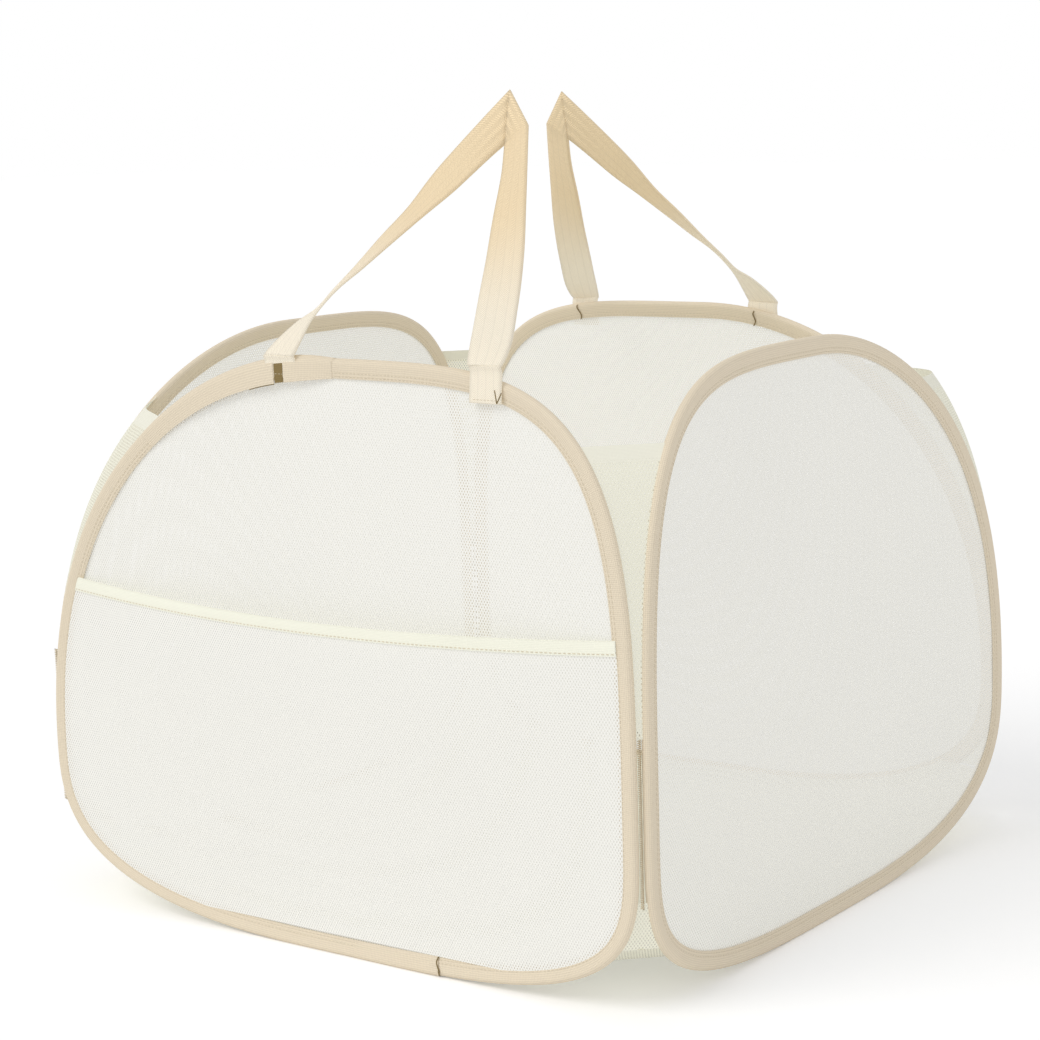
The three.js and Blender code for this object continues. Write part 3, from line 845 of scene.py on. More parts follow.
class HAMPER_OT_bindings(bpy.types.Operator):
    """Tape folded over each hoop, with its stitching, its overlaps and the tacks across it"""

    bl_idname = "hamper.bindings"
    bl_label = "Bindings"

    # Rows of stitches by their distance from the tape's edge, and their spacing, length, radius and height
    rows = {"inner": 1.3 * MM, "outer": 3.6 * MM}
    spacing = 3.1 * MM
    length = 2.5 * MM
    radius = 0.2 * MM
    height = 0.05 * MM
    # Stretches of doubled tape: panel, whether on top, from where to where along the panel in millimetres,
    # and how far the second layer stands off the crest and the edge of the first where it ends
    doubled = (
        ("front", True, -150, -38, 2.1, 3.6), ("front", True, 10, -30, 2.1, 3.6),
        ("front", False, 22, 92, 0.6, 0.6), ("back", False, -40, 30, 0.6, 0.6),
        ("left", False, -20, 50, 0.6, 0.6),
    )
    # How far that layer stands off where it starts, and its thickness
    close_layer = 0.1 * MM
    thin_tape = 0.4 * MM
    # Painted shade in the open end of the front's doubled tape, a dark sheet in its fold: from where to where, its
    # stand-off at crest and edge, and its thickness. A thin dark line of painted shade along the tape's edge
    # beside it, drawn as thread: its length, distance from the tape's edge, depth and radius
    gap = (-38 * MM, -30 * MM)
    inside = (1.8 * MM, 3.2 * MM, 0.3 * MM)
    shade_line_length = 22 * MM
    shade_line_inset = 2.4 * MM
    shade_line_depth = -1.5 * MM
    shade_line_radius = 0.3 * MM
    # Tacks across the tape: panel, whether on top, place along the panel in millimetres, and 1 on the outside
    # or -1 on the inside
    tacks = (
        ("front", False, 92, 1), ("back", True, -50, -1), ("back", True, 118, -1), ("left", False, 50, 1),
    )
    # A tack's start from the hoop's edge, its end past the tape's, its sway, height, radius and points
    tack_start = 1.2 * MM
    tack_end = 0.5 * MM
    tack_sway = 1.1 * MM
    tack_height = 0.75 * MM
    tack_radius = 0.45 * MM
    tack_points = 24

    def execute(self, context):
        for panel in PANELS:
            self.binding(panel)
            self.stitching(panel)
        for panel, top, start, end, crest, edge in self.doubled:
            self.overlap(panel, top, start * MM, end * MM, crest * MM, edge * MM)
        for panel, top, s, side in self.tacks:
            self.tack(panel, top, s * MM, side)
        self.open_end("front", *self.gap)
        return {"FINISHED"}

    def binding(self, panel):
        line, inward, travelled = hoop_line(panel, HOOP_POINTS)
        points, uv = sweep_section(panel, line, inward, tape_section(), travelled)
        piece = grid_mesh(f"{panel}_tape", points, uv, close_rows=True, close_columns=True)
        dress(piece, panel, tape_material(), [f"{panel}_binding"])

    def stitching(self, panel):
        """Two rows of stitches on each face, near the tape's edge."""
        k = sizes()
        line, inward, _ = hoop_line(panel, STITCHING_POINTS)
        for row, from_edge in self.rows.items():
            inset = k.binding_width - from_edge
            path = line + inset * inward
            for face, side in (("out", 1), ("in", -1)):
                n = k.roll_radius - side * (tape_face(inset) + self.height)
                points = place(panel, path[:, 0], n, path[:, 1])
                row_of_stitches(
                    f"{panel}_stitches_{row}_{face}", panel, np.vstack([points, points[:1]]),
                    side * panel_out(panel), self.spacing, self.length, self.radius,
                )

    def stretch(self, panel, top, low, high):
        """Part of a hoop's outline from one place along the panel to another, with its directions inwards and
        the length travelled."""
        line, inward, _ = hoop_line(panel, STRETCH_POINTS)
        here = (line[:, 0] > low) & (line[:, 0] < high) & ((line[:, 1] > widest_height()) == top)
        order = np.argsort(line[here][:, 0])
        line, inward = line[here][order], inward[here][order]
        return line, inward, travelled_along(line)

    def overlap(self, panel, top, start, end, crest, edge):
        """Second layer where the tape's ends lap. It rises off the first by the sine of the share along."""
        line, inward, travelled = self.stretch(panel, top, min(start, end), max(start, end))
        first = tape_section(self.close_layer, self.close_layer, tape=self.thin_tape)
        last = tape_section(crest, edge, tape=self.thin_tape)
        rise = np.sin((line[:, 0] - start) / (end - start) * math.pi / 2)[:, None, None]
        section = first * (1 - rise) + last * rise
        points, uv = sweep_section(panel, line, inward, section, travelled)
        piece = grid_mesh(f"{panel}_tape_lap_{round(end / MM)}", points, uv, close_columns=True)
        dress(piece, panel, tape_material())

    def open_end(self, panel, low, high):
        """Painted shade: a dark sheet in the fold of the tape where its top layer ends, and a thin dark line of
        painted shade along the tape's edge beside it.
        """
        line, inward, travelled = self.stretch(panel, True, low, high)
        points, uv = sweep_section(panel, line, inward, tape_section(*self.inside), travelled)
        piece = grid_mesh(f"{panel}_tape_open_end_shade", points, uv, close_columns=True)
        dress(piece, panel, tape_fold_shade_material())
        # Painted shade: a thin dark line along the tape's inner edge, drawn as thread
        line, inward, _ = self.stretch(panel, True, low - self.shade_line_length, low)
        path = line + (sizes().binding_width + self.shade_line_inset) * inward
        points = place(panel, path[:, 0], self.shade_line_depth, path[:, 1])
        thread_line(f"{panel}_tape_lap_thread", points, self.shade_line_radius, panel, dark_thread())

    def tack(self, panel, top, s, side):
        """Thread that crosses the tape in a slight S, by the sine of the share across."""
        k = sizes()
        line, inward, _ = self.stretch(panel, top, s - MM, s + MM)
        middle, inwards = line[len(line) // 2], inward[len(line) // 2]
        r = np.linspace(self.tack_start, k.binding_width + self.tack_end, self.tack_points)
        sway = self.tack_sway * np.sin(2 * math.pi * r / k.binding_width)
        n = k.roll_radius - side * (tape_face(r) + self.tack_height)
        points = place(panel, middle[0] + r * inwards[0] + sway, n, middle[1] + r * inwards[1])
        name = f"{panel}_{'top' if top else 'bottom'}_tack_{round(s / MM)}"
        thread_line(name, points, self.tack_radius, panel, dark_thread())


class HAMPER_OT_mesh_panels(bpy.types.Operator):
    """Knitted mesh stretched in each hoop"""

    bl_idname = "hamper.mesh_panels"
    bl_label = "Mesh panels"

    # How far inside the hoop's edge the mesh ends, the share of the way out at its first ring, and its rings
    inset = 6.2 * MM
    first_share = 0.01
    rings = 28
    # Ripple: its height, its waves round the panel, and how often and how far these drift
    height = 0.35 * MM
    waves = 23
    drifts = 5
    drift = 1.3

    def execute(self, context):
        for panel in PANELS:
            self.panel(panel)
        return {"FINISHED"}

    def panel(self, panel):
        """Rings from the middle to the edge: each point is the middle plus a share of the way to the outline.
        A faint ripple grows by the sixth power of that share, and ends at the edge by its thirtieth."""
        k = sizes()
        line, _, _ = hoop_line(panel, HOOP_POINTS, self.inset)
        hub = np.array([0.0, k.hoop_height / 2])
        shares = np.linspace(self.first_share, 1, self.rings)[:, None]
        flat = hub + shares[..., None] * (line - hub)
        turn = np.linspace(0, 2 * np.pi, HOOP_POINTS, endpoint=False)
        wave = np.sin(self.waves * turn + self.drift * np.sin(self.drifts * turn))
        ripple = self.height * wave * shares**6 * (1 - shares**30)
        points = place(panel, flat[..., 0], k.roll_radius + ripple, flat[..., 1])
        uv = np.concatenate([flat, flat[:, :1]], axis=1)
        piece = grid_mesh(f"{panel}_mesh", points, uv, close_columns=True, cap=True, away_from=INSIDE)
        dress(piece, panel, panel_mesh_material(), [f"{panel}_mesh_panel"])
        declare_cloth(piece, (2 * hoop_half(), k.hoop_height))


class HAMPER_OT_pocket(bpy.types.Operator):
    """Pocket on the outside of the front panel, with the tape on its top edge"""

    bl_idname = "hamper.pocket"
    bl_label = "Pocket"

    # Rows up the pocket, which lie closer together near the floor by a power, and places across each
    cloth_rows = 60
    crowding = 1.3
    columns = 121
    # How far the pocket's edges lap the tape, and how far they stand off the wire's plane
    lap = 3 * MM
    stand_off = 2.1 * MM
    # Hem: how far its edge, its middle and its shoulder stand off the mesh, and how far its fold rises over
    # the mesh's edge and its shoulders drop below it
    hem_out = (0.9 * MM, 1.0 * MM, 0.8 * MM)
    fold = 0.3 * MM
    # Stitches on the hem: distance from its lower edge, distance off the mesh, spacing, length and radius
    from_edge = 1.2 * MM
    height = 1.05 * MM
    spacing = 3.2 * MM
    length = 2.5 * MM
    radius = 0.25 * MM

    def execute(self, context):
        k = sizes()
        share_up = np.linspace(0, 1, self.cloth_rows) ** self.crowding
        points, flat = self.rows(k.pocket_bottom + (k.pocket_height - k.pocket_bottom) * share_up)
        piece = grid_mesh("front_pocket_cloth", points, flat, away_from=INSIDE)
        dress(piece, "front", panel_mesh_material(), ["front_pocket_mesh"])
        declare_cloth(piece, (2 * hoop_half(), k.pocket_height))

        outside = list(zip(self.hem_out, (-k.hem, -k.hem / 2, -self.fold)))
        section = [*outside, (0.0, self.fold), *((-out, drop) for out, drop in reversed(outside))]
        band = np.stack([self.row(k.pocket_height + drop, out) for out, drop in section])
        across = np.linspace(0, 2 * k.hem, len(section))
        uv = np.stack(np.meshgrid(across, travelled_along(band[0]), indexing="ij")[::-1], -1)
        piece = grid_mesh("front_pocket_tape", band, uv, away_from=(0, 0, 0))
        dress(piece, "front", hem_material(), ["front_pocket_hem"])
        line = self.row(k.pocket_height - k.hem + self.from_edge, self.height)
        row_of_stitches(
            "front_pocket_stitches", "front", line, panel_out("front"), self.spacing, self.length, self.radius
        )
        return {"FINISHED"}

    def row(self, height, out):
        """Points of one row, a distance outside the mesh."""
        return self.rows(np.array([height]), out)[0][0]

    def rows(self, heights, out=0.0):
        """Rows across the pocket: depth is the bow times one less the square of the share across, times the
        sine of the share up, and the top rows sag by the fourth power of the share up."""
        k = sizes()
        inset = k.binding_width - self.lap
        left, right = (half_width("front", heights, side, inset)[:, None] for side in (-1, 1))
        across = np.linspace(-1, 1, self.columns)[None, :]
        up = np.clip((heights[:, None] - k.pocket_bottom) / (k.pocket_height - k.pocket_bottom), 0, 1)
        s = (left + right) / 2 + across * (right - left) / 2
        belly = k.pocket_bow * (1 - across**2) * np.sin(up * math.pi / 2)
        sag = k.pocket_sag * (1 - across**2) * up**4
        n = k.roll_radius - self.stand_off - belly - out
        points = place("front", s, n, heights[:, None] - sag)
        return points, np.stack([s, np.broadcast_to(heights[:, None], s.shape)], -1)


class HAMPER_OT_corners(bpy.types.Operator):
    """Gussets between neighbouring hoops, their hems, and the seams that join the hoops"""

    bl_idname = "hamper.corners"
    bl_label = "Corners"

    # How far the cloth bulges towards its corner, as a share of its width
    slack = {("left", "front"): 0.06, ("right", "back"): 0.2}
    # How far the cloth goes past a seam's end: a share of the seam where it has slack, or else this length
    tuck_share = 0.25
    tuck = 4 * MM
    # How far the cloth goes under the hoops' edges and under its hem, and the hem's cut as a share of its
    # depth
    under_edge = 1.2 * MM
    under_hem = 1 * MM
    hem_share = 1.05
    # Places across the cloth and up it, and the height under which few rows will do
    columns = 25
    cloth_rows = 30
    few_rows = 6
    low_piece = 20 * MM
    # Flat size as shares of the widest row and of the height, and of the area if that asks for more
    flat_width = 1.05
    flat_half = 0.52
    flat_height = 1.1
    flat_area = 1.01
    # Share of the cloth's width to each side of the corner, from which bend works out a reach that it does not use
    bend_share = 0.3
    # Seam's thread: the coil's pitch and radius, its points, and the thread's radius
    pitch = 1.3 * MM
    coil_radius = 0.75 * MM
    coil_points = 1500
    thread_radius = 0.4 * MM

    def execute(self, context):
        for first, second in CORNERS:
            self.corner(first, second)
        return {"FINISHED"}

    def corner(self, first, second):
        k = sizes()
        low_end, high_end = (np.array(end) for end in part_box(f"{first}_{second}_seam"))
        self.seam(f"{first}_{second}", low_end, high_end)
        low, high = low_end[2], high_end[2]
        tuck = (high - low) * self.tuck_share if (first, second) in self.slack else self.tuck
        mesh, tape = (gusset_mesh_material(), "corner_cloth"), (gusset_hem_material(), "hem_tape")
        hem_low = k.hem_height - k.hem
        self.cloth(first, second, "top_gusset", high - tuck, hem_low + self.under_hem, *mesh)
        self.cloth(first, second, "gusset_hem", k.hem_height - self.hem_share * k.hem, k.hem_height, *tape)
        self.cloth(first, second, "bottom_gusset", k.cloth_low, low + tuck, *mesh)

    def seam(self, name, low_end, high_end):
        """Overcast thread: a coil about the hinge line."""
        bodies = frame["record"]["behaviour"]["bodies"]
        body = next(body for body, nodes in bodies.items() if f"{name}_seam" in nodes)
        low, high = low_end[2], high_end[2]
        x, y, _ = (low_end + high_end) / 2
        turn = np.linspace(0, 2 * np.pi * (high - low) / self.pitch, self.coil_points)
        circle = x + self.coil_radius * np.cos(turn), y + self.coil_radius * np.sin(turn)
        path = np.stack([*circle, np.linspace(low, high, self.coil_points)], -1)
        thread_line(f"{name}_thread", path, self.thread_radius, body, seam_thread(), [f"{name}_seam"])

    def cloth(self, first, second, part, low, high, material, slot):
        """Rows of cloth between the two hoops' edges: straight across, plus a slack that bulges towards the
        corner by a share of the width times the square of the sine of the share across."""
        k = sizes()
        name = f"{first}_{second}_{part}"
        heights = np.linspace(low, high, self.cloth_rows if high - low > self.low_piece else self.few_rows)
        a = place(first, half_width(first, heights, 1, self.under_edge), k.roll_radius, heights)
        b = place(second, half_width(second, heights, -1, self.under_edge), k.roll_radius, heights)
        t = np.linspace(0, 1, self.columns)[None, :, None]
        width = np.linalg.norm(b - a, axis=-1, keepdims=True)
        outwards = unit(np.cross(b - a, (0, 0, 1.0)))
        bulge = np.sin(t * math.pi) ** 2 * (width * outwards * self.slack.get((first, second), 0))[:, None]
        points = a[:, None] * (1 - t) + b[:, None] * t + bulge
        reach = (t[..., 0] - 0.5) * width
        uv = np.stack([reach, np.broadcast_to(heights[:, None], reach.shape)], -1)
        widest = float(width.max())
        if (first, second) == OPEN_CORNER:
            middle = self.columns // 2
            for panel, half in ((first, slice(0, middle + 1)), (second, slice(middle, self.columns))):
                piece = grid_mesh(f"{name}_cloth_{panel}", points[:, half], uv[:, half], away_from=INSIDE)
                dress(piece, panel, material, [name])
                self.declare(piece, widest * self.flat_half, float(high - low))
                fold_away(piece, panel, k.roll_radius)
        else:
            piece = grid_mesh(f"{name}_cloth", points, uv, away_from=INSIDE)
            dress(piece, None, material, [name])
            self.declare(piece, widest * self.flat_width, float(high - low))
            self.bend(piece, first, second, widest)

    def declare(self, piece, flat_width, height):
        """Hands declare_cloth the cloth's flat width and height, wider where its area asks for more."""
        flat_height = height * self.flat_height
        declare_cloth(piece, (max(flat_width, mesh_area(piece) * self.flat_area / flat_height), flat_height))

    def bend(self, piece, first, second, width):
        """Bakes the cloth's transform into its mesh; the corner and a reach along it are worked out but not used.
        """
        corner = place(first, hoop_half(), 2 * sizes().roll_radius, 0.0)
        along = unit(place(second, 0.0, 0.0, 0.0) - place(first, 0.0, 0.0, 0.0)) * width * self.bend_share
        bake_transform(piece)


def fold_away(piece, panel, depth):
    """Gives cloth its own copy of its mesh; the anchor at a depth inside its panel is worked out but not used."""
    anchor = tuple(place(panel, 0.0, depth, 0.0))
    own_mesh(piece)


class HAMPER_OT_base(bpy.types.Operator):
    """Cloth base, in four quarters that ride on their panels' bodies"""

    bl_idname = "hamper.base"
    bl_label = "Base"

    # Rows from the edge to the last share of the way to the middle, and places along each
    cloth_rows = 40
    last_share = 0.998
    columns = 81
    # How far the cloth reaches past the hinge lines, and how far its corners are pulled in
    past_hinges = 1.4 * MM
    corner_cut = 0.42
    # Power by which its edges rise and its corners draw in
    power = 8
    # Flat size along and across, as shares of the reach, and a depth inside its panel that fold_away works out for
    # a quarter but does not use
    flat_shares = (2.1, 1.05)
    fold_depth = 5 * MM
    # A point over the base, which its underside turns away from
    above = (0, MIDDLE_Y, 1.0)

    def execute(self, context):
        for panel in PANELS:
            self.quarter(panel)
        return {"FINISHED"}

    def quarter(self, panel):
        """Triangle from a panel's lower edge to the middle: rows run along the panel and shrink to a point.
        The height is the middle's, plus the rise of the hoops' lower edges at the sides, which fades inwards
        by a power of the share out. The corners draw in by the same power."""
        k = sizes()
        reach = HINGE_LINE + self.past_hinges
        out = 1 - np.linspace(0, self.last_share, self.cloth_rows)[:, None]
        t = np.linspace(-1, 1, self.columns)[None, :]
        s = reach * out * t
        along = np.broadcast_to(reach * out, s.shape)
        rise = k.cloth_low - k.base_height
        own = np.clip(bottom_height(panel, s), 0, rise) / rise * out**self.power
        names = list(PANELS)
        turns = names.index(panel)
        before, after = names[turns - 1], names[(turns + 1) % len(names)]
        beside = np.where(t > 0, bottom_height(after, -along), bottom_height(before, along))
        beside = np.clip(beside, 0, rise) / rise * (np.abs(t) * out) ** self.power
        z = k.base_height + rise * (1 - (1 - own) * (1 - beside))
        ends = [abs(float(half_width(panel, k.cloth_low, side))) for side in (-1, 1)]
        cut = self.corner_cut * (reach - np.where(t > 0, ends[1], ends[0])) / reach
        pull = 1 - cut * (out * np.abs(t)) ** self.power
        x, y = quarter_turns(panel, s * pull, -along * pull)
        points = np.stack([x, y + MIDDLE_Y, z], -1)
        piece = grid_mesh(f"base_{panel}_quarter", points, points[..., :2], away_from=self.above)
        dress(piece, panel, gusset_mesh_material(), ["base_cloth"])
        declare_cloth(piece, tuple(part * reach for part in self.flat_shares))
        fold_away(piece, panel, self.fold_depth)


class HAMPER_OT_handles(bpy.types.Operator):
    """Webbing handles, folded to a point at the top, and their sewn ends"""

    bl_idname = "hamper.handles"
    bl_label = "Handles"

    # Middle of each leg in the handle's plane, {along, up} in millimetres, from the fold down to the sewn
    # end, with the angle in degrees by which the webbing turns out of the plane
    twisted = (
        (-9, 169, -15), (-20, 143, -5), (-31, 119, 12), (-44, 95, 20), (-55, 73, 28), (-65, 55, 34),
        (-72, 38, 34), (-78, 26, 22), (-84, 8, 2),
    )
    plain = (
        (20, 180, 26), (29, 159, 23), (45, 118, 8), (60, 80, -8), (72, 45, -22), (82, 12, -20), (84, 2, -8),
    )
    # Fold at the top as {along, up, out} in millimetres: its two ends, the plain leg's outer corner, and how
    # far up the fold the doubled webbing starts, as a share
    fold_top = (5, 211, 9)
    fold_bottom = (9, 177, -5)
    corner = (25, 189, 0)
    doubled_from = 0.02
    # Lengths in millimetres: over which a leg turns to the fold and to its sewn end, and its height there
    turn_to_fold = 26
    turn_to_end = 22
    end_height = 0.5
    # Rows down a leg, more rows in the plain leg's fold, and places across the webbing
    leg_rows = 80
    fold_rows = 7
    columns = 9
    # Sewn ends: their lengths down from the tops of their solids, rows, thickness, distance off the panel's
    # outer face, and at the top how far they curve outwards, over what length, and how far past that top
    shown = {"left": 13 * MM, "right": 22 * MM}
    end_rows = 24
    end_thickness = 1.2 * MM
    end_out = 0.95 * MM
    curl_out = 2.35 * MM
    curl_length = 5 * MM
    past_top = 0.8 * MM
    # Stitches on an end: half the row's length, its points, height over the end's edge, distance off the
    # panel's outer face, spacing, length and radius
    row_half = 10 * MM
    row_points = 20
    row_height = 2.2 * MM
    row_out = 1.55 * MM
    spacing = 2.8 * MM
    length = 2.3 * MM
    radius = 0.22 * MM
    # Two thread ends in a V: where they start and where they go, {along, up} in millimetres, their distance
    # off the panel's outer face, their radius and their points
    knot = (9.5, 0.5)
    thread_tips = ((7.5, 8.5), (13.0, 7.0))
    thread_out = 1.75 * MM
    thread_radius = 0.35 * MM
    thread_points = 8

    def execute(self, context):
        k = sizes()
        for panel, shift in (("front", k.front_shift), ("back", k.back_shift)):
            self.handle(panel)
            self.foot(panel, "left", shift - k.handle_spread / 2)
            self.foot(panel, "right", shift + k.handle_spread / 2)
        return {"FINISHED"}

    def handle(self, panel):
        """Two legs that meet on the fold, each in the axes of the handle: along its hinge line, up the plane
        that leans inwards, and out of that plane."""
        k = sizes()
        hinge = JOINTS[f"{panel}_handle_hinge"]
        along = np.array(hinge["axis"])
        inwards = np.array([-along[1], along[0], 0])
        up = math.sin(k.handle_lean) * inwards + math.cos(k.handle_lean) * np.array([0, 0, 1.0])
        axes = np.stack([along, up, np.cross(along, up)]) * MM
        t = np.linspace(0, 1, self.columns)[None, :, None]
        for leg, side in (("twisted", -1), ("plain", 1)):
            edges = self.leg_edges(np.array(getattr(self, leg), float), side)
            edges = np.array(hinge["pos_m"]) + edges @ axes
            grid = edges[:, :1] * (1 - t) + edges[:, 1:] * t
            down = travelled_along(grid[:, self.columns // 2])
            across = np.linspace(0, k.webbing_width, self.columns)
            uv = np.stack(np.meshgrid(down, across, indexing="ij"), -1)
            piece = grid_mesh(f"{panel}_strap_{leg}", grid, uv, away_from=INSIDE)
            thicken(piece, k.webbing)
            dress(piece, f"{panel}_handle", webbing_material(), [f"{panel}_handle"])

    def leg_edges(self, stations, side):
        """The two edges of a leg as (rows, 2, 3): a smooth line through the stations, and half the webbing's
        width to each side of it, turned out of the plane. The rows start on the fold, and end on the hinge
        line, square to the sewn end, and turn to both by the square of the share of the way."""
        half = sizes().webbing_width / MM / 2
        knots = travelled_along(stations[:, :2])
        where = np.linspace(0, knots[-1], self.leg_rows)
        middle = np.stack([smooth_line(where, knots, stations[:, i]) for i in (0, 1)], -1)
        turn = np.radians(smooth_line(where, knots, stations[:, 2]))
        ahead = unit(np.gradient(middle, axis=0))
        across = np.stack([ahead[:, 1], -ahead[:, 0]], -1)
        offset = np.concatenate([across * np.cos(turn)[:, None], -np.sin(turn)[:, None]], -1) * half
        centre = np.concatenate([middle, np.zeros((len(middle), 1))], -1)
        edges = np.stack([centre + offset, centre - offset], 1)
        foot = np.array([[stations[-1, 0] + reach, self.end_height, 0] for reach in (-half, half)])
        landing = np.clip(1 - (knots[-1] - where) / self.turn_to_end, 0, 1)[:, None, None] ** 2
        edges = edges * (1 - landing) + foot * landing
        top, bottom = np.array(self.fold_top, float), np.array(self.fold_bottom, float)
        first = np.stack([top if side < 0 else np.array(self.corner, float), bottom][::-side])
        takeoff = np.clip(1 - where / self.turn_to_fold, 0, 1)[:, None, None] ** 2
        edges = edges * (1 - takeoff) + first * takeoff
        if side > 0:
            start = np.stack([bottom + self.doubled_from * (top - bottom), top])
            part = np.linspace(0, 1, self.fold_rows, endpoint=False)[:, None, None]
            edges = np.concatenate([start * (1 - part) + first * part, edges])
        return edges

    def foot(self, panel, side, s):
        """End of the webbing, sewn flat over the binding. Its top curves outwards to the hinge line, by the
        square of the share up the curve."""
        k = sizes()
        node = f"{panel}_handle_{side}_foot"
        high = float(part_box(node)[1][2])
        low = high - self.shown[side]
        rows = np.linspace(low, high + self.past_top, self.end_rows)[:, None]
        curl = np.clip((rows - high + self.curl_length) / (self.curl_length + self.past_top), 0, 1) ** 2
        places = s + np.linspace(-1, 1, self.columns)[None, :] * k.webbing_width / 2
        points = place(panel, places, -self.end_out - self.curl_out * curl, rows)
        uv = np.stack(np.broadcast_arrays(rows, places), -1)
        piece = grid_mesh(f"{panel}_strap_{side}_end", points, uv, away_from=INSIDE)
        thicken(piece, self.end_thickness)
        dress(piece, panel, webbing_material(), [node])
        self.end_stitches(panel, side, s, low)
        if (panel, side) == ("front", "right"):
            self.thread_ends(panel, side, s, low)

    def end_stitches(self, panel, side, s, low):
        """Row of stitches along the lower edge of an end."""
        across = np.linspace(s - self.row_half, s + self.row_half, self.row_points)
        points = place(panel, across, -self.row_out, low + self.row_height)
        name = f"{panel}_strap_{side}_stitches"
        row_of_stitches(name, panel, points, panel_out(panel), self.spacing, self.length, self.radius)

    def thread_ends(self, panel, side, s, low):
        """Two dark thread ends in a V at the outer corner of an end."""
        for number, tip in enumerate(self.thread_tips):
            along, up = np.linspace(self.knot, tip, self.thread_points).T * MM
            path = place(panel, s + along, -self.thread_out, low + up)
            name = f"{panel}_strap_{side}_thread_end_{number}"
            thread_line(name, path, self.thread_radius, panel, dark_thread())


def smooth_line(where, knots, values):
    """Smooth curve through values at knots: cubic pieces whose slopes are the mean of their neighbours'."""
    slopes = np.gradient(values, knots)
    i = np.clip(np.searchsorted(knots, where, side="right") - 1, 0, len(knots) - 2)
    width = knots[i + 1] - knots[i]
    t = (where - knots[i]) / width
    return (
        (2 * t**3 - 3 * t**2 + 1) * values[i]
        + (t**3 - 2 * t**2 + t) * width * slopes[i]
        + (3 * t**2 - 2 * t**3) * values[i + 1]
        + (t**3 - t**2) * width * slopes[i + 1]
    )


class HAMPER_OT_wires(bpy.types.Operator):
    """Finish of the spring wire and its sleeves inside the bindings"""

    bl_idname = "hamper.wires"
    bl_label = "Wires"

    def execute(self, context):
        finish = wire_material()
        for panel in PANELS:
            for part in ("hoop_wire", "hoop_ferrule"):
                node = frame["nodes"][f"{panel}_{part}"]
                for slot in node.material_slots:
                    slot.material = finish
        return {"FINISHED"}


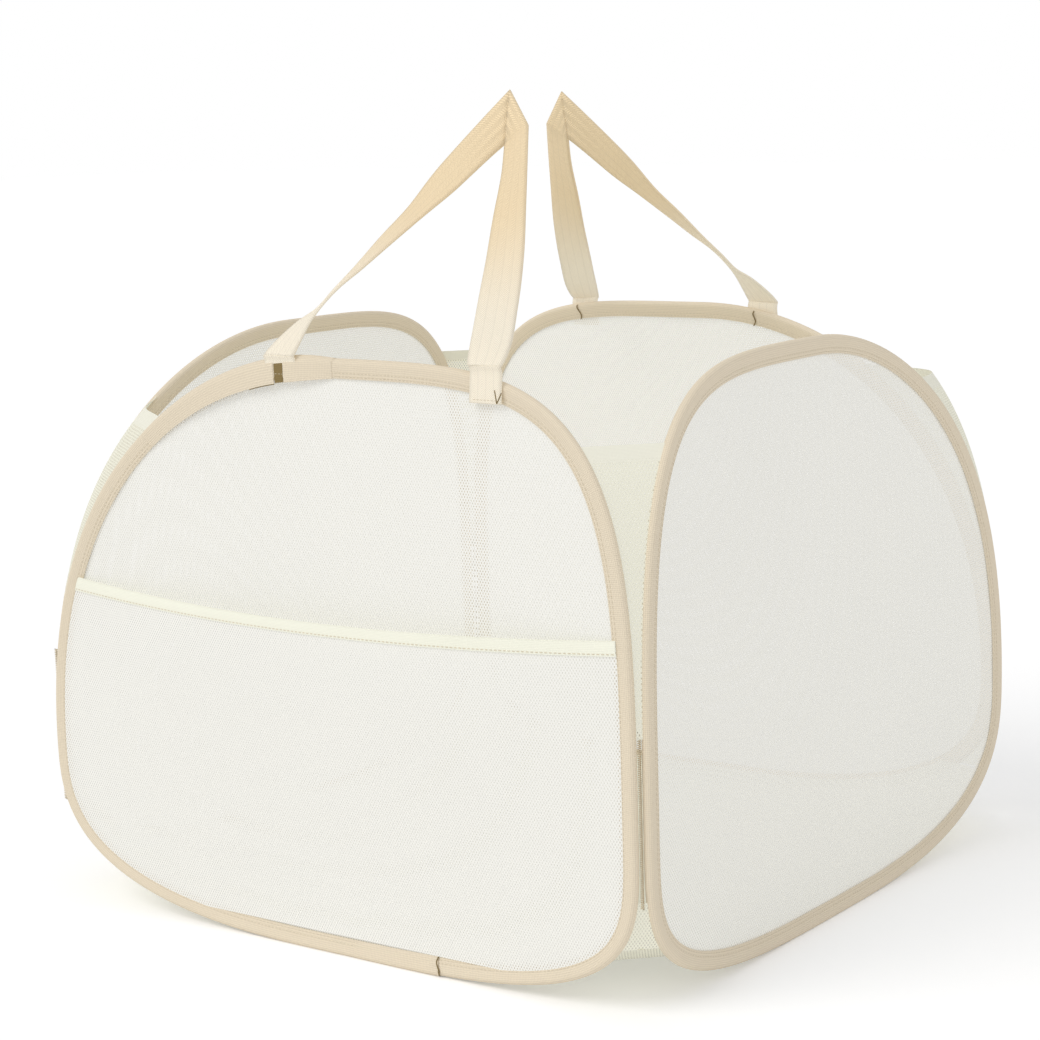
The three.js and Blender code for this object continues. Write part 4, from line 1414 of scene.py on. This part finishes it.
class HAMPER_OT_stage(bpy.types.Operator):
    """Floor, lamps and camera"""

    bl_idname = "hamper.stage"
    bl_label = "Stage"

    # How far the floor reaches, and the colour of the light from all round
    floor_reach = 20.0
    daylight = (0.62, 0.62, 0.625, 1)
    # Each lamp: the direction towards it, its power, its width in degrees and its colour
    suns = {
        "key": ((-0.35, -0.6, 0.72), 1.0, 38, (1.0, 0.98, 0.95)),
        "fill": ((0.8, -0.45, 0.4), 0.3, 60, (1.0, 0.99, 0.97)),
    }
    # The photograph's camera: azimuth, elevation and roll in degrees, and its distance in metres
    view = (35.6974, 11.1053, -1.6968)
    distance = 1.767083
    # Its focal length and its shifts in the photograph's pixels, with the photograph's width, and the width
    # of its sensor in millimetres
    focal = 2448.726
    shift = (-19.92, 76.25)
    frame_width = 1040
    sensor = 36

    def execute(self, context):
        self.floor()
        self.world()
        self.lamps()
        self.camera()
        context.scene.view_settings.view_transform = "Standard"
        return {"FINISHED"}

    def floor(self):
        reach = np.array([-self.floor_reach, self.floor_reach])
        y, x = np.meshgrid(reach, reach, indexing="ij")
        floor = grid_mesh("floor", np.stack([x, y, 0 * x], -1), away_from=(0, 0, -1))
        floor.data.materials.append(floor_material())

    def world(self):
        """Even studio light, which a camera sees as white."""
        world = bpy.data.worlds.new("studio")
        bpy.context.scene.world = world
        world.use_nodes = True
        w = Wiring(world.node_tree)
        background = world.node_tree.nodes["Background"]
        path = w.node("ShaderNodeLightPath").outputs
        seen = w.math("MAXIMUM", path["Is Camera Ray"], path["Is Glossy Ray"])
        seen = w.math("MAXIMUM", seen, path["Is Transmission Ray"])
        w.join(w.mix(seen, self.daylight, (1, 1, 1, 1)), background.inputs["Color"])
        set_sockets(background, {"Strength": 1.0})

    def lamps(self):
        for name, (towards, power, width, tint) in self.suns.items():
            data = bpy.data.lights.new(name, "SUN")
            data.energy = power
            data.angle = math.radians(width)
            data.color = tint
            lamp = bpy.data.objects.new(name, data)
            bpy.context.scene.collection.objects.link(lamp)
            lamp.rotation_euler = (-Vector(towards)).to_track_quat("-Z", "Y").to_euler()

    def camera(self):
        """Camera of the photograph, solved from the hoops' outlines: it looks at the hamper's middle."""
        data = bpy.data.cameras.new("camera")
        azimuth, elevation, roll = (math.radians(degrees) for degrees in self.view)
        level_ahead = Vector((-math.sin(azimuth), math.cos(azimuth), 0))
        ahead = math.cos(elevation) * level_ahead - math.sin(elevation) * Vector((0, 0, 1))
        right = Vector((math.cos(azimuth), math.sin(azimuth), 0))
        upright = Matrix((right, right.cross(ahead), -ahead)).transposed()
        camera = bpy.data.objects.new("camera", data)
        bpy.context.scene.collection.objects.link(camera)
        place_seen = Vector((0, MIDDLE_Y, sizes().hoop_height / 2))
        turned = upright @ Matrix.Rotation(roll, 3, "Z")
        camera.matrix_world = Matrix.Translation(place_seen - self.distance * ahead) @ turned.to_4x4()
        data.sensor_width = self.sensor
        data.lens = self.focal * self.sensor / self.frame_width
        data.shift_x, data.shift_y = (shift / self.frame_width for shift in self.shift)
        bpy.context.scene.camera = camera


OPERATORS = [
    HAMPER_OT_bindings,
    HAMPER_OT_mesh_panels,
    HAMPER_OT_pocket,
    HAMPER_OT_corners,
    HAMPER_OT_base,
    HAMPER_OT_handles,
    HAMPER_OT_wires,
    HAMPER_OT_stage,
]


class HAMPER_PT_panel(bpy.types.Panel):
    """Lists the hamper's pieces, sizes and colours"""

    bl_idname = "HAMPER_PT_panel"
    bl_label = "Laundry hamper"
    bl_space_type = "VIEW_3D"
    bl_region_type = "UI"
    bl_category = "Hamper"

    def draw(self, context):
        for operator in OPERATORS:
            self.layout.operator(operator.bl_idname)
        for group in (context.scene.hamper_sizes, context.scene.hamper_colours):
            for name in group.bl_rna.properties.keys():
                if name not in ("rna_type", "name"):
                    self.layout.prop(group, name)


CLASSES = [HamperSizes, HamperColours, *OPERATORS, HAMPER_PT_panel]


def register():
    for one in CLASSES:
        bpy.utils.register_class(one)
    bpy.types.Scene.hamper_sizes = PointerProperty(type=HamperSizes)
    bpy.types.Scene.hamper_colours = PointerProperty(type=HamperColours)


def unregister():
    del bpy.types.Scene.hamper_colours
    del bpy.types.Scene.hamper_sizes
    for one in reversed(CLASSES):
        bpy.utils.unregister_class(one)


def main():
    register()
    for operator in OPERATORS:
        group, name = operator.bl_idname.split(".")
        getattr(getattr(bpy.ops, group), name)()


if __name__ == "__main__":
    main()
